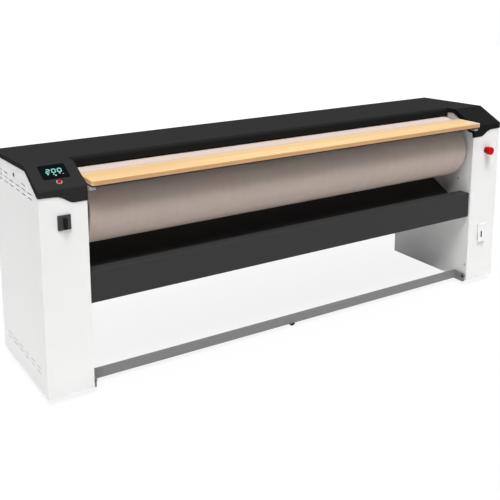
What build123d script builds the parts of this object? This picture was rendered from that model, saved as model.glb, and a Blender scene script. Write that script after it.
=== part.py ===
from build123d import *
import os
from math import asin, atan2, ceil, cos, degrees, hypot, pi, radians, sin, sqrt

# Flatwork ironer: two end columns carry a padded roll, a heated chest behind it, a wooden feed
# board, a collecting tray and a foot bar. Millimetres. The drawing frame has X along the roll with
# 0 in the middle, Y rearwards from the front face of the columns and Z up from their lower edge.
# save() moves every piece to the final frame: Z = 0 on the floor, X and Y centred on the whole part.

# ---- casing
length = 2600.0            # over the outer faces of the two columns
column_width = 200.0
rear_room = 122.0          # press shaft to the column's rear face
foot_height = 30.0         # floor to the lower edge of the columns
sheet = 2.0                # casing sheet
frame_t = 4.0              # inner frame plates, which carry the bearings
cover_t = 2.5              # black covers on top
side_lip = 20.0            # how far the covers reach down over the side panels
return_depth = 8.0         # folded returns of the front panels
base_t = 3.0

# ---- outline of the top, seen from the side: a flat, a kink and a slope to the front
kink_y = 145.0
kink_over_roll = 47.5
rear_fall = 14.0           # from the kink to the rear face
front_fall = 71.0          # from the kink to the front face
skirt_outer_h = 29.0       # front skirt at the outer side
skirt_inner_h = 64.0       # and at the inner side
cover_bend_r = 10.0        # outside of the bend above the skirt
skirt_wave = (0.35, 0.75)  # where the S of its lower edge runs, as shares of the column's width
hood_lip_back = 5.0        # front lip of the hood, behind the roll's axis
hood_lip_h = 40.4
hood_edge_r = 15.0         # outside of the bend at its front
hood_bend_l = 30.0         # lip to where the hood joins the flat top
inner_flange_h = 26.0      # cover's flange beside the roll, at the kink
flange_steps = ((4.5, 0.0), (8.0, 25.0), (45.0, 29.0), (100.0, 83.0))  # its lower edge: y, rise over the skirt

# ---- roll
roll_y = 190.0
roll_z = 738.0
roll_r = 162.5             # over the padding
padding_t = 12.5
roll_tube_t = 5.0
roll_end_gap = 20.0        # padding end to inner frame
journal_r = 30.0
journal_bore_r = 22.0
end_disc_t = 10.0
soft_gap = 0.3             # clearance round soft or curved pieces
fit_gap = 0.05             # running fit of pins and shafts

# ---- heated chest
chest_gap = 0.8            # room for the linen between roll and chest
chest_t = 10.0
heater_r = 6.0
heater_count = 7
insulation_t = 20.0
chest_cover_t = 1.5
chest_low_deg = -40.0      # arc from rear-below to rear-above, 0 is straight behind the roll
chest_high_deg = 58.0
chest_arm_t = 6.0
chest_pivot_back = 60.0    # pivot behind and above the roll's axis
chest_pivot_up = 177.0
chest_pin_r = 8.0
chest_lug_r = 15.0

# ---- press shaft, which draws the chest back, and its gear
press_back = 270.0         # behind and below the roll's axis
press_down = 38.0
press_r = 10.0
press_shaft_stop = 10.0    # its end to the far side of the gear case
cam_r = 20.0
cam_throw = 14.0
cam_gap = 0.5
hook_t = 7.0
hook_rise = 57.0           # top of the hook above the shaft
hook_drop = 20.0
hook_bar_h = 14.0
press_gear_offset = 40.0   # worm axis to press shaft
press_gear_size = 100.0
press_gear_w = 70.0
press_motor_r = 36.0
press_motor_l = 170.0
spindle_r = 8.0
spindle_front_y = 44.0

# ---- feed board
board_front_y = -52.0
board_t = 27.0
board_edge_t = 20.0        # thickness left at the rear edge
board_side_gap = 4.0       # board end to inner frame
board_roll_gap = 2.0
board_edge_r = 4.0
board_corner_r = 18.0      # front corners, seen from above
hinge_back = 35.0          # board front to hinge pin
hinge_drop = 9.0           # board underside to hinge pin
hinge_block_w = 16.0
hinge_block_l = 26.0
hinge_block_h = 16.5
hinge_pin_r = 4.0
bracket_t = 6.5
bracket_rear_y = 48.0
pad_h = 2.2
pad_l = 16.0
pad_inset = 2.0

# ---- collecting tray
tray_front_y = 10.0
tray_low_z = 369.0
tray_top_z = 502.0
tray_lip_y = 75.0
tray_slope_z = 385.0       # where the sloped plate meets the front face
tray_rear_y = 300.0
tray_rear_z = 539.0
tray_t = 2.0
tray_flange = 22.0

# ---- foot bar
bar_y = 83.0
bar_low_z = -9.0
bar_h = 48.0
bar_t = 5.0
bar_side_gap = 6.0
bar_bend_r = 10.0
bar_pivot_y = 15.0
bar_pivot_z = 23.0
bar_front_y = 4.0
bar_end_r = 12.0
bar_pin_r = 5.0
bumper_x = -30.0
bumper_r = 18.0            # round lower edge
bumper_h = 10.0
bumper_l = 14.0
foot_switch_w = 26.0
foot_switch_l = 48.0
foot_switch_h = 36.0
foot_switch_up = 14.0      # above the lower edge of the bar

# ---- controls
display_w = 110.0
display_l = 86.0
display_t = 2.0
display_below_kink = 51.0  # to its middle, measured along Y
display_depth = 24.0
button_below_display = 61.0
button_r = 9.0
button_ring_r = 12.5
button_ring_h = 4.0
button_hole_r = 11.0
button_proud = 3.0
switch_drop = 140.0        # below the front edge of the top
switch_w = 55.0
switch_h = 62.0
switch_t = 6.0
knob_w = 13.0
knob_l = 44.0
knob_h = 18.0
switch_shaft_r = 4.0
stop_x_offset = 4.0        # emergency stop beside the middle of the column
stop_drop = 144.0
stop_r = 21.5
stop_head_t = 22.0
stop_neck_r = 14.0         # neck of the head, which sinks into the collar
stop_collar_r = 18.0
stop_collar_t = 10.0
stop_gap = 6.0             # travel between head and collar
stop_shaft_r = 6.0
stop_tail = 8.0            # collar behind the panel

contacts_w = 40.0          # contact block behind the stop button
contacts_h = 48.0
contacts_l = 38.0
switch_body_w = 48.0       # main switch behind the panel
switch_body_h = 56.0
switch_body_l = 56.0
switch_terminals = (10.0, 30.0, 6.0)
switch_terminal_pitch = 16.0

# ---- service hatch for the hand crank, right column
hatch_x_offset = -3.0
hatch_w = 56.0
hatch_low_z = 213.0
hatch_high_z = 316.0
hatch_t = 1.5
hatch_top_out = 4.5
hatch_low_out = 9.0
hatch_pin_r = 2.0
hatch_back_gap = 1.0       # flap's rim to the panel
hatch_slot_w = 11.0
hatch_slot_z = (238.0, 272.0)
hatch_rim = 0.35           # share of its height over which the flap has side walls
hatch_margin = 5.0

# ---- side lock, left column
lock_y = 300.0
lock_drop = 68.0           # below the kink
lock_r = 8.5
lock_slot = (5.0, 16.0)

# ---- ventilation slots in the side panels
vent_l = 50.0
vent_h = 5.0
vent_pitch_y = 78.0
vent_pitch_z = 20.0
vent_first_y = 100.0
vent_columns = 6
vent_upper_drop = 52.0     # first upper row below the front edge of the top
vent_lower_z = 82.0
vent_short_row = (2, 5, 6)  # columns that reach the third row, counted from the front

# ---- roll drive, left column
pitch = 15.875             # roller chain
roll_teeth = 40
drive_teeth = 20
chain_links = 74
roller_r = 4.8
seat_r = 5.1
tooth_h = 3.5              # tooth tips above the pitch circle
sprocket_t = 7.0
link_t = 2.0
link_half_h = 6.0
chain_side_gap = 0.6
sprocket_x_gap = 34.0      # inner frame to sprocket
bearing_w = 120.0
bearing_t = 26.0
gearbox_w = 200.0
gearbox_h = 152.0
gearbox_t = 90.0
gearbox_x_gap = 46.0
drive_shaft_r = 12.5
drive_motor_r = 58.0
drive_motor_l = 200.0
motor_box_w = 60.0         # terminal box on top of the motor
motor_box_l = 70.0
motor_box_at = 50.0
motor_box_up = 20.0

# ---- extraction fan, right column
duct_t = 22.0
duct_wall = 1.5
fan_to_rear = 152.0
fan_z = 330.0
fan_r = 120.0
fan_t = 70.0
fan_wall = 2.0
fan_inlet_r = 45.0
wheel_r = 90.0
wheel_blades = 24
fan_motor_r = 45.0
fan_motor_gap = 15.0       # motor to side panel
fan_outlet_gap = 6.0       # end of the outlet to the rear panel
spigot_r = 50.0
spigot_t = 1.5
spigot_l = 50.0
spigot_flange_r = 68.0

# ---- feet, cross beams, electrics, fasteners
foot_inset_y = 80.0
foot_pad_r = 22.0
foot_pad_h = 12.0
foot_stem_r = 6.0
beam_w = 60.0
beam_h = 40.0
beam_t = 3.0
beam_over_tray = 21.0
beam_under_cover = 31.5
gland_bore_r = 9.0
gland_body_r = 16.0
gland_l = 38.0
gland_z = 120.0
screw_r = 5.0
screw_head = 2.5
screw_shank_r = 3.0
lone_screws = ((93.0, 570.0), (15.0, 89.0))
tray_screws = (60.0, 130.0, 200.0, 270.0)

# ---- electrics on a plate inside the left side panel
plate_y = (330.0, 560.0)
plate_z = (500.0, 790.0)
plate_t = 2.5
contactor = (55.0, 50.0, 75.0)
contactor_pitch = 68.0
inverter = (70.0, 95.0, 160.0)
terminal = (32.0, 10.0, 50.0)
terminal_count = 8
terminal_pitch = 12.0
device_margin = 15.0

# ---- values that follow from the sizes above
half = length / 2
x_in = half - column_width             # inner face of a column
x_mid = half - column_width / 2        # middle of a column
x_frame = x_in + frame_t               # outer face of an inner frame plate
x_side = half - sheet                  # inner face of a side panel
x_flange = x_in - cover_t              # face of the cover flanges beside the roll
x_roll = x_in - roll_end_gap
board_x = x_in - board_side_gap
roll_tube_r = roll_r - padding_t
board_top_z = roll_z + roll_r
kink_z = board_top_z + kink_over_roll
top_rear_z = kink_z - rear_fall
top_front_z = kink_z - front_fall
skirt_outer_z = top_front_z - skirt_outer_h
skirt_inner_z = top_front_z - skirt_inner_h
inner_flange_z = kink_z - inner_flange_h
hood_lip_y = roll_y + hood_lip_back
hood_rear_y = hood_lip_y + hood_bend_l
chest_pivot_y = roll_y + chest_pivot_back
chest_pivot_z = roll_z + chest_pivot_up
press_y = roll_y + press_back
press_z = roll_z - press_down
hook_top_z = press_z + hook_rise
depth = press_y + rear_room            # column front face to rear face
y_rear = depth - sheet
fan_y = depth - fan_to_rear
hinge_y = board_front_y + hinge_back
hinge_z = board_top_z - board_t - hinge_drop
hinge_low_z = board_top_z - board_t - hinge_block_h
hinge_block_y = (hinge_y - hinge_block_l / 2, hinge_y + hinge_block_l / 2)
display_y = kink_y - display_below_kink
button_y = display_y - button_below_display
switch_z = top_front_z - switch_drop
stop_z = top_front_z - stop_drop
lock_z = kink_z - lock_drop
vent_upper_z = top_front_z - vent_upper_drop
y_low_extent = min(board_front_y, -stop_collar_t - stop_gap - stop_head_t)
y_high_extent = depth + spigot_l
y_centre = (y_low_extent + y_high_extent) / 2
slope_deg = degrees(atan2(kink_z - top_front_z, kink_y))


def top_z(y):
    """Height of the outer top surface at a distance y from the front face."""
    if y >= kink_y:
        return kink_z - rear_fall * (y - kink_y) / (depth - kink_y)
    return top_front_z + front_fall * y / kink_y


hood_lip_z = top_z(hood_lip_y) - hood_lip_h


def along_x(outline, x0, x1):
    """An outline drawn in Y and Z, thick from x0 to x1."""
    return extrude(Plane.YZ.offset(x0) * outline, x1 - x0, dir=(1, 0, 0))


def plate_yz(points, x0, x1):
    return along_x(Polygon(*points, align=None), x0, x1)


def block(x0, x1, y0, y1, z0, z1):
    return Pos((x0 + x1) / 2, (y0 + y1) / 2, (z0 + z1) / 2) * Box(abs(x1 - x0), abs(y1 - y0), abs(z1 - z0))


def rod_x(r, x0, x1, y, z):
    return Pos((x0 + x1) / 2, y, z) * Rot(0, 90, 0) * Cylinder(r, abs(x1 - x0))


def rod_y(r, x, y0, y1, z):
    return Pos(x, (y0 + y1) / 2, z) * Rot(90, 0, 0) * Cylinder(r, abs(y1 - y0))


def rod_z(r, x, y, z0, z1):
    return Pos(x, y, (z0 + z1) / 2) * Cylinder(r, abs(z1 - z0))


def left(shape):
    """The same piece on the left side."""
    return mirror(shape, about=Plane.YZ)


def solids(*shapes):
    return [solid for shape in shapes for solid in shape.solids()]


def save(name, *shapes):
    """Write one node, moved so that Z = 0 is the floor and X, Y are centred on the part."""
    pieces = [Pos(0, -y_centre, foot_height) * solid for solid in solids(*shapes)]
    export_step(pieces[0] if len(pieces) == 1 else Compound(children=pieces), f"parts/{name}.step")


def ring_sector(r0, r1, low, high, x0, x1):
    """Part of a ring round the roll's axis, from angle low to high, with 0 straight behind it."""
    outer = CenterArc((roll_y, roll_z), r1, low, high - low)
    inner = CenterArc((roll_y, roll_z), r0, low, high - low)
    ends = [Line(outer @ 0, inner @ 0), Line(outer @ 1, inner @ 1)]
    return along_x(make_face([outer, inner, *ends]), x0, x1)


def on_slope(x, y):
    """A plane on the sloped front of a cover: local Z stands out of it, local X is along the roll."""
    normal = (0, -sin(radians(slope_deg)), cos(radians(slope_deg)))
    return Plane(origin=(x, y, top_z(y)), x_dir=(1, 0, 0), z_dir=normal)


# ---- casing of the columns
def cased_outline(y0, y1, z0=0.0):
    """Side outline of a casing plate that ends under the covers."""
    points = [(y0, z0), (y1, z0), (y1, top_z(y1) - cover_t)]
    if y0 < kink_y < y1:
        points.append((kink_y, kink_z - cover_t))
    return points + [(y0, top_z(y0) - cover_t)]


def inner_frame():
    plate = plate_yz(cased_outline(sheet, y_rear), x_in, x_frame)
    holes = [
        (journal_r + 4, roll_y, roll_z), (chest_pin_r, chest_pivot_y, chest_pivot_z),
        (press_r + fit_gap, press_y, press_z), (bar_pin_r, bar_pivot_y, bar_pivot_z),
    ] + [(screw_shank_r, y, z) for y, z in screw_places()]
    for r, y, z in holes:
        plate -= rod_x(r, x_in - 1, x_frame + 1, y, z)
    return plate


def screw_places():
    """Screws on the inner face of each column: two alone and four that hold the tray's flange."""
    slope = (tray_rear_z - tray_slope_z) / (tray_rear_y - tray_front_y)
    flange_mid = [(y, tray_slope_z + slope * (y - tray_front_y) - tray_flange / 2) for y in tray_screws]
    return [*lone_screws, *flange_mid]


def front_panel():
    """Front sheet with a folded return at each side."""
    top = top_front_z - cover_t
    panel = block(x_in, half, 0, sheet, 0, top)
    for x in (x_frame, x_side - sheet):
        panel += block(x, x + sheet, sheet, return_depth, base_t, top)
    return panel


def side_panel():
    panel = plate_yz(cased_outline(sheet, depth), x_side, half)
    rows = [(vent_upper_z, 0), (vent_upper_z, 1), (vent_upper_z, 2), (vent_lower_z, 0), (vent_lower_z, 1)]
    for base, row in rows:
        for column in range(vent_columns):
            if row == 2 and column + 1 not in vent_short_row:
                continue
            y = vent_first_y + column * vent_pitch_y
            z = base + row * vent_pitch_z
            panel -= block(x_side - 1, half + 1, y - vent_l / 2, y + vent_l / 2, z - vent_h / 2, z + vent_h / 2)
    return panel


def column_rear():
    return block(x_in, x_side, y_rear, depth, 0, top_z(depth) - cover_t)


def base_pan():
    pan = block(x_frame, x_side, sheet, y_rear, 0, base_t)
    for y in foot_ys():
        pan -= rod_z(foot_stem_r, x_mid, y, -1, base_t + 1)
    return pan


def foot_ys():
    """The feet stand under the middle of a column, one near its front and one near its rear."""
    return (foot_inset_y, depth - foot_inset_y)


def levelling_foot(y):
    x = x_mid
    pad = rod_z(foot_pad_r, x, y, -foot_height, -foot_height + foot_pad_h)
    pad = chamfer(pad.edges().group_by(Axis.Z)[-1], 3)
    stem = rod_z(foot_stem_r, x, y, -foot_height + foot_pad_h, base_t + 28)
    nut = extrude(Plane.XY.offset(base_t) * Pos(x, y) * RegularPolygon(foot_stem_r * 1.75, 6), 9)
    jam = extrude(Plane.XY.offset(-9) * Pos(x, y) * RegularPolygon(foot_stem_r * 1.75, 6), 9)
    return pad + stem + nut + jam


def cross_beam(y0, z0):
    outer = block(-x_in, x_in, y0, y0 + beam_w, z0, z0 + beam_h)
    return outer - block(-x_in - 1, x_in + 1, y0 + beam_t, y0 + beam_w - beam_t, z0 + beam_t, z0 + beam_h - beam_t)


# ---- black covers
def hood_profile():
    """Sheet bent down at the hood's front, drawn in Y and Z."""
    y0, y1 = hood_lip_y, hood_lip_y + cover_t
    corners = [(y0, hood_lip_z), (y1, hood_lip_z), (y1, top_z(y1) - cover_t), (hood_rear_y, top_z(hood_rear_y) - cover_t),
               (hood_rear_y, top_z(hood_rear_y)), (y0, top_z(y0))]
    outline = Polygon(*corners, align=None)
    inner = [v for v in outline.vertices() if abs(v.X - y1) < 0.01 and v.Y > hood_lip_z + 1]
    outline = fillet(inner, hood_edge_r - cover_t)
    outer = [v for v in outline.vertices() if abs(v.X - y0) < 0.01 and v.Y > hood_lip_z + 1]
    return fillet(outer, hood_edge_r)


def top_cover():
    """Flat top from the kink to the rear, with lips over the sides and rear and a hood lip at the roll."""
    x_out = half + cover_t
    y_out = depth + cover_t
    rear_z = top_z(y_out)
    lid = plate_yz([(kink_y, kink_z), (y_out, rear_z), (y_out, rear_z - cover_t), (kink_y, kink_z - cover_t)],
                   -x_out, x_out)
    lid -= block(-x_flange, x_flange, 0, hood_rear_y, hood_lip_z, kink_z + 1)
    lid += along_x(hood_profile(), -x_flange, x_flange)
    lid += plate_yz([(depth, rear_z - side_lip), (y_out, rear_z - side_lip), (y_out, rear_z), (depth, top_z(depth))],
                    -x_out, x_out)
    lip = plate_yz([(kink_y, kink_z), (y_out, rear_z), (y_out, rear_z - side_lip), (kink_y, kink_z - side_lip)],
                   half, x_out)
    flange = plate_yz([(kink_y, kink_z), (hood_rear_y, top_z(hood_rear_y)), (hood_rear_y, hood_lip_z),
                       (hood_lip_y, hood_lip_z), (hood_lip_y, inner_flange_z + 1), (kink_y + 12, inner_flange_z + 3),
                       (kink_y, inner_flange_z)], x_flange, x_in)
    return lid + lip + left(lip) + flange + left(flange)


def wave_skirt():
    """Front skirt of a cover: its lower edge rises in an S from the inner to the outer side."""
    x_out = half + cover_t
    x_high, x_low = (half - share * column_width for share in skirt_wave)
    wave = Spline((x_low, skirt_inner_z), ((x_low + x_high) / 2, (skirt_inner_z + skirt_outer_z) / 2 - 1.5),
                  (x_high, skirt_outer_z - 3), tangents=[(1, 0), (1, 0.12)])
    edges = [
        Line((x_flange, top_front_z), (x_flange, skirt_inner_z)), Line((x_flange, skirt_inner_z), wave @ 0), wave,
        Line(wave @ 1, (x_out, skirt_outer_z)), Line((x_out, skirt_outer_z), (x_out, top_front_z)),
        Line((x_out, top_front_z), (x_flange, top_front_z)),
    ]
    plane = Plane(origin=(0, 0, 0), x_dir=(1, 0, 0), z_dir=(0, -1, 0))
    return extrude(plane * make_face(edges), cover_t, dir=(0, -1, 0))


def fascia():
    """Sloped cover in front of the kink, with its skirt, outer lip and inner flange."""
    x_out = half + cover_t
    front_z = top_z(-cover_t)
    shell = plate_yz([(kink_y, kink_z), (-cover_t, front_z), (-cover_t, top_front_z - cover_t - 1),
                      (0, top_front_z - cover_t), (kink_y, kink_z - cover_t)], x_flange, x_out)
    shell += wave_skirt()
    shell += plate_yz([(kink_y, kink_z), (-cover_t, front_z), (-cover_t, skirt_outer_z), (8, skirt_outer_z + 2),
                       (kink_y, kink_z - side_lip)], half, x_out)
    steps = [(y, skirt_inner_z + rise) for y, rise in flange_steps]
    flange = [(kink_y, kink_z), (-cover_t, front_z), (-cover_t, skirt_inner_z), *steps, (kink_y, inner_flange_z)]
    shell += plate_yz(flange, x_flange, x_in)
    low_z = skirt_inner_z - 1
    bent = plate_yz([(kink_y, kink_z), (-cover_t, front_z), (-cover_t, low_z), (kink_y, low_z)], x_flange - 1, x_out + 1)
    bend = bent.edges().filter_by(Axis.X).group_by(Axis.Y)[0].sort_by(Axis.Z)[-1]
    return shell & fillet(bend, cover_bend_r)


# ---- roll, its journals and bearings
def roll_tube():
    return rod_x(roll_tube_r, -x_roll, x_roll, roll_y, roll_z) - rod_x(
        roll_tube_r - roll_tube_t, -x_roll - 1, x_roll + 1, roll_y, roll_z)


def roll_padding():
    return rod_x(roll_r, -x_roll, x_roll, roll_y, roll_z) - rod_x(
        roll_tube_r + soft_gap, -x_roll - 1, x_roll + 1, roll_y, roll_z)


def journal(outer_x, bore):
    disc = rod_x(roll_tube_r - roll_tube_t - 0.1, x_roll - end_disc_t, x_roll, roll_y, roll_z)
    shaft = rod_x(journal_r, x_roll, outer_x, roll_y, roll_z)
    body = disc + shaft
    return body - rod_x(journal_bore_r, x_roll - end_disc_t - 1, outer_x + 1, roll_y, roll_z) if bore else body


def roll_bearing():
    """Flanged bearing unit on the outer face of an inner frame."""
    half_w = bearing_w / 2
    flange = block(x_frame, x_frame + 12, roll_y - half_w, roll_y + half_w, roll_z - half_w, roll_z + half_w)
    flange = fillet(flange.edges().filter_by(Axis.X), 14)
    hub = rod_x(journal_r + 18, x_frame + 12, x_frame + bearing_t, roll_y, roll_z)
    unit = flange + hub
    for dy in (-1, 1):
        for dz in (-1, 1):
            unit += rod_x(7, x_frame + 12, x_frame + 18, roll_y + dy * (half_w - 16), roll_z + dz * (half_w - 16))
    return unit - rod_x(journal_r + fit_gap, x_frame - 1, x_frame + bearing_t + 1, roll_y, roll_z)


# ---- chain drive
def pitch_radius(teeth):
    return pitch / (2 * sin(pi / teeth))


def chain_drop():
    """Distance between the two sprockets for the chosen number of links."""
    straight = chain_links - (roll_teeth + drive_teeth) / 2
    step = ((roll_teeth - drive_teeth) / (2 * pi)) ** 2
    return pitch * (straight + sqrt(straight ** 2 - 8 * step)) / 4


drive_y = roll_y
drive_z = roll_z - chain_drop()
x_sprocket = x_frame + sprocket_x_gap
x_gearbox = x_frame + gearbox_x_gap


def sprocket(teeth, bore_r, y, z):
    """A disc with one seat for a chain roller between each pair of tapered teeth."""
    radius = pitch_radius(teeth)
    tip = radius + tooth_h
    seat = Pos(radius, 0) * Circle(seat_r)
    seat += Polygon((radius, seat_r), (tip + 2, seat_r + tooth_h), (tip + 2, -seat_r - tooth_h), (radius, -seat_r),
                    align=None)
    outline = Circle(tip) - [Rot(0, 0, 360 * k / teeth) * seat for k in range(teeth)]
    outline -= Circle(bore_r)
    return along_x(Pos(y, z) * outline, x_sprocket, x_sprocket + sprocket_t)


def chain_hull(grow):
    """Outline of the chain's loop, grown outwards or shrunk from the pitch line."""
    top_r = pitch_radius(roll_teeth) + grow
    low_r = pitch_radius(drive_teeth) + grow
    tilt = asin((top_r - low_r) / (roll_z - drive_z))
    sides = [(side * r * cos(tilt), z - r * sin(tilt))
             for side, r, z in ((1, top_r, roll_z), (1, low_r, drive_z), (-1, low_r, drive_z), (-1, top_r, roll_z))]
    waist = Polygon(*[(roll_y + y, z) for y, z in sides], align=None)
    return waist + Pos(roll_y, roll_z) * Circle(top_r) + Pos(drive_y, drive_z) * Circle(low_r)


def chain_place(n):
    """Place of roller n, counted from the top of the loop down one side to the bottom."""
    tilt = asin((pitch_radius(roll_teeth) - pitch_radius(drive_teeth)) / (roll_z - drive_z))
    top_links = (90 + degrees(tilt)) * roll_teeth / 360
    straight_links = (roll_z - drive_z) * cos(tilt) / pitch
    if n <= top_links:
        radius, angle, z, along = pitch_radius(roll_teeth), radians(90 - 360 * n / roll_teeth), roll_z, 0
    elif n <= top_links + straight_links:
        radius, angle, z, along = pitch_radius(roll_teeth), -tilt, roll_z, (n - top_links) * pitch
    else:
        turn = radians(360 * (n - top_links - straight_links) / drive_teeth)
        radius, angle, z, along = pitch_radius(drive_teeth), -tilt - turn, drive_z, 0
    return radius * cos(angle) + along * sin(angle), z + radius * sin(angle) - along * cos(angle)


def chain_rollers():
    """Rollers along the two straight runs, clear of the teeth of both sprockets."""
    side = []
    for n in range(chain_links // 2):
        y, z = chain_place(n)
        from_top = hypot(y, z - roll_z) - pitch_radius(roll_teeth)
        from_low = hypot(y, z - drive_z) - pitch_radius(drive_teeth)
        if min(from_top, from_low) > tooth_h + roller_r + soft_gap:
            side.append((y, z))
    return [(roll_y + sign * y, z) for y, z in side for sign in (1, -1)]


def drive_chain():
    """Two bands of link plates, one each side of the sprockets, joined by the rollers between them."""
    band = chain_hull(link_half_h) - chain_hull(-link_half_h)
    x0 = x_sprocket - chain_side_gap
    x1 = x_sprocket + sprocket_t + chain_side_gap
    discs = Sketch() + [Pos(y, z) * Circle(roller_r) for y, z in chain_rollers()]
    return along_x(band, x0 - link_t, x0) + along_x(discs, x0, x1) + along_x(band, x1, x1 + link_t)


def drive_sprocket():
    wheel = sprocket(drive_teeth, drive_shaft_r - 1, drive_y, drive_z)
    shaft = rod_x(drive_shaft_r, x_sprocket - 8, x_gearbox + 40, drive_y, drive_z)
    hub = rod_x(drive_shaft_r + 12, x_sprocket + sprocket_t, x_gearbox - 1, drive_y, drive_z)
    return wheel + shaft + hub


def drive_gearbox():
    y0, y1 = drive_y - gearbox_w / 2, drive_y + gearbox_w / 2
    z0 = drive_z - gearbox_h / 2
    z1 = drive_z + gearbox_h / 2
    case = block(x_gearbox, x_gearbox + gearbox_t, y0, y1, z0, z1)
    case = fillet(case.edges().filter_by(Axis.X), 18)
    case -= rod_x(drive_shaft_r + fit_gap, x_gearbox - 1, x_gearbox + 40.3, drive_y, drive_z)
    for y in (y0 + 12, y1 - 12):
        for z in (z0 + 12, z1 - 12):
            case += rod_x(8, x_frame, x_gearbox, y, z)
    for k in range(6):
        z = z0 + 26 + k * 20
        case += block(x_gearbox + gearbox_t, x_gearbox + gearbox_t + 5, y0 + 24, y1 - 24, z, z + 5)
    return case


def drive_motor():
    x = x_gearbox + gearbox_t / 2
    y0 = drive_y + gearbox_w / 2
    body = rod_y(drive_motor_r * 0.72, x, y0, y0 + drive_motor_l, drive_z)
    for k in range(12):
        y = y0 + 22 + k * 12
        body += rod_y(drive_motor_r * 0.86, x, y, y + 4, drive_z)
    body += rod_y(drive_motor_r * 0.86, x, y0, y0 + 12, drive_z)
    body += rod_y(drive_motor_r * 0.86, x, y0 + drive_motor_l - 30, y0 + drive_motor_l, drive_z)
    y1 = y0 + motor_box_at
    return body + block(x - motor_box_w / 2, x + motor_box_w / 2, y1, y1 + motor_box_l, drive_z + drive_motor_r * 0.6,
                        drive_z + drive_motor_r + motor_box_up)


# ---- heated chest
r_chest = roll_r + chest_gap
r_heater = r_chest + chest_t
r_insulation = r_heater + 2 * heater_r + 2 * soft_gap
r_cover = r_insulation + insulation_t
chest_x = x_roll + 3.0                  # inner face of an arm
arm_low_r = r_chest + 3.0


def chest_arm():
    """End plate of the chest: a ring sector, a lug at the pivot and a hook behind the cam."""
    lug_deg = degrees(atan2(chest_pivot_z - roll_z, chest_pivot_y - roll_y))
    x1 = chest_x + chest_arm_t
    arm = ring_sector(arm_low_r, r_cover + chest_cover_t, chest_low_deg, lug_deg, chest_x, x1)
    arm += rod_x(chest_lug_r, chest_x, x1, chest_pivot_y, chest_pivot_z)
    hook_y = press_y + cam_r + cam_gap
    root_y = roll_y + r_cover - 20
    arm += block(chest_x, x1, root_y, hook_y + hook_t, hook_top_z - hook_bar_h, hook_top_z)
    arm += block(chest_x, x1, hook_y, hook_y + hook_t, press_z - hook_drop, hook_top_z)
    return arm - rod_x(chest_pin_r + fit_gap, chest_x - 1, x1 + 1, chest_pivot_y, chest_pivot_z)


def heater(angle):
    r = r_heater + soft_gap + heater_r
    y = roll_y + r * cos(radians(angle))
    z = roll_z + r * sin(radians(angle))
    return rod_x(heater_r, -chest_x + 5, chest_x - 5, y, z)


def heaters():
    margin = 8.0
    step = (chest_high_deg - chest_low_deg - 2 * margin) / (heater_count - 1)
    return [heater(chest_low_deg + margin + k * step) for k in range(heater_count)]


def press_shaft():
    x0 = chest_x - 2
    x1 = chest_x + chest_arm_t + 2
    shaft = rod_x(press_r, -x_frame - 12, press_shaft_end, press_y, press_z)
    cam = rod_x(cam_r, x0, x1, press_y, press_z - cam_throw)
    return shaft + cam + left(cam)


# ---- the worm gear, motor and hand spindle in line behind the hatch
hatch_x = x_mid + hatch_x_offset
spindle_front_z = (hatch_low_z + hatch_high_z) / 2
reach = hypot(press_y - spindle_front_y, press_z - spindle_front_z)
spindle_deg = degrees(atan2(press_z - spindle_front_z, press_y - spindle_front_y) - asin(press_gear_offset / reach))
worm_l = sqrt(reach ** 2 - press_gear_offset ** 2)
press_shaft_end = hatch_x + press_gear_w / 2 - press_shaft_stop


def along_spindle(t):
    """Plane square to the spindle, a distance t from its front end."""
    d = (0, cos(radians(spindle_deg)), sin(radians(spindle_deg)))
    return Plane(origin=(hatch_x, spindle_front_y + t * d[1], spindle_front_z + t * d[2]), x_dir=(1, 0, 0), z_dir=d)


motor_start = worm_l - press_gear_size / 2 - press_motor_l
spindle_socket = 20.0


def press_gearbox():
    """Worm gear case, turned to the spindle's angle, with a foot to the inner frame."""
    size = press_gear_size
    middle = along_spindle(worm_l - size / 2) * Pos(0, -press_gear_offset / 2)
    case = extrude(middle * RectangleRounded(press_gear_w, size + 10, 8), size)
    foot = rod_x(press_r + 22, x_frame, hatch_x - press_gear_w / 2, press_y, press_z)
    bore = rod_x(press_r + fit_gap, x_frame - 1, press_shaft_end + soft_gap, press_y, press_z)
    return case + foot - bore


def press_motor():
    body = extrude(along_spindle(motor_start) * Circle(press_motor_r * 0.86), press_motor_l)
    for k in range(9):
        body += extrude(along_spindle(motor_start + 30 + k * 12) * Circle(press_motor_r), 4)
    body += extrude(along_spindle(worm_l - press_gear_size / 2 - 12) * Circle(press_motor_r), 12)
    return body - extrude(along_spindle(motor_start - 1) * Circle(spindle_r + fit_gap), spindle_socket + 1.3)


def crank_spindle():
    """Hand spindle with a square end behind the hatch."""
    bar = extrude(along_spindle(26) * Circle(spindle_r), motor_start + spindle_socket - 26)
    return bar + extrude(along_spindle(0) * Rectangle(11, 11), 26)


# ---- extraction: duct from the hollow journal, fan, wheel and outlet
x_duct = x_frame + bearing_t + 6
x_fan = x_duct + duct_t


def suction_duct():
    """Flat duct from the journal down to the fan's inlet."""
    def outline(grow):
        path = Line((roll_y, roll_z), (fan_y, fan_z))
        square = (path % 0).rotate(Axis.Z, 90)
        r0, r1 = journal_r + 12 + grow, fan_inlet_r + 5 + grow
        strip = Polygon(*[(p.X + s * square.X * r, p.Y + s * square.Y * r)
                          for p, s, r in ((path @ 0, 1, r0), (path @ 0, -1, r0), (path @ 1, -1, r1), (path @ 1, 1, r1))],
                        align=None)
        return strip + Pos(roll_y, roll_z) * Circle(r0) + Pos(fan_y, fan_z) * Circle(r1)
    duct = along_x(outline(0), x_duct, x_fan) - along_x(outline(-duct_wall), x_duct + duct_wall, x_fan - duct_wall)
    duct -= rod_x(journal_r + 0.5, x_duct - 1, x_duct + duct_wall + 1, roll_y, roll_z)
    return duct - rod_x(fan_inlet_r, x_fan - duct_wall - 1, x_fan + 1, fan_y, fan_z)


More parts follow.
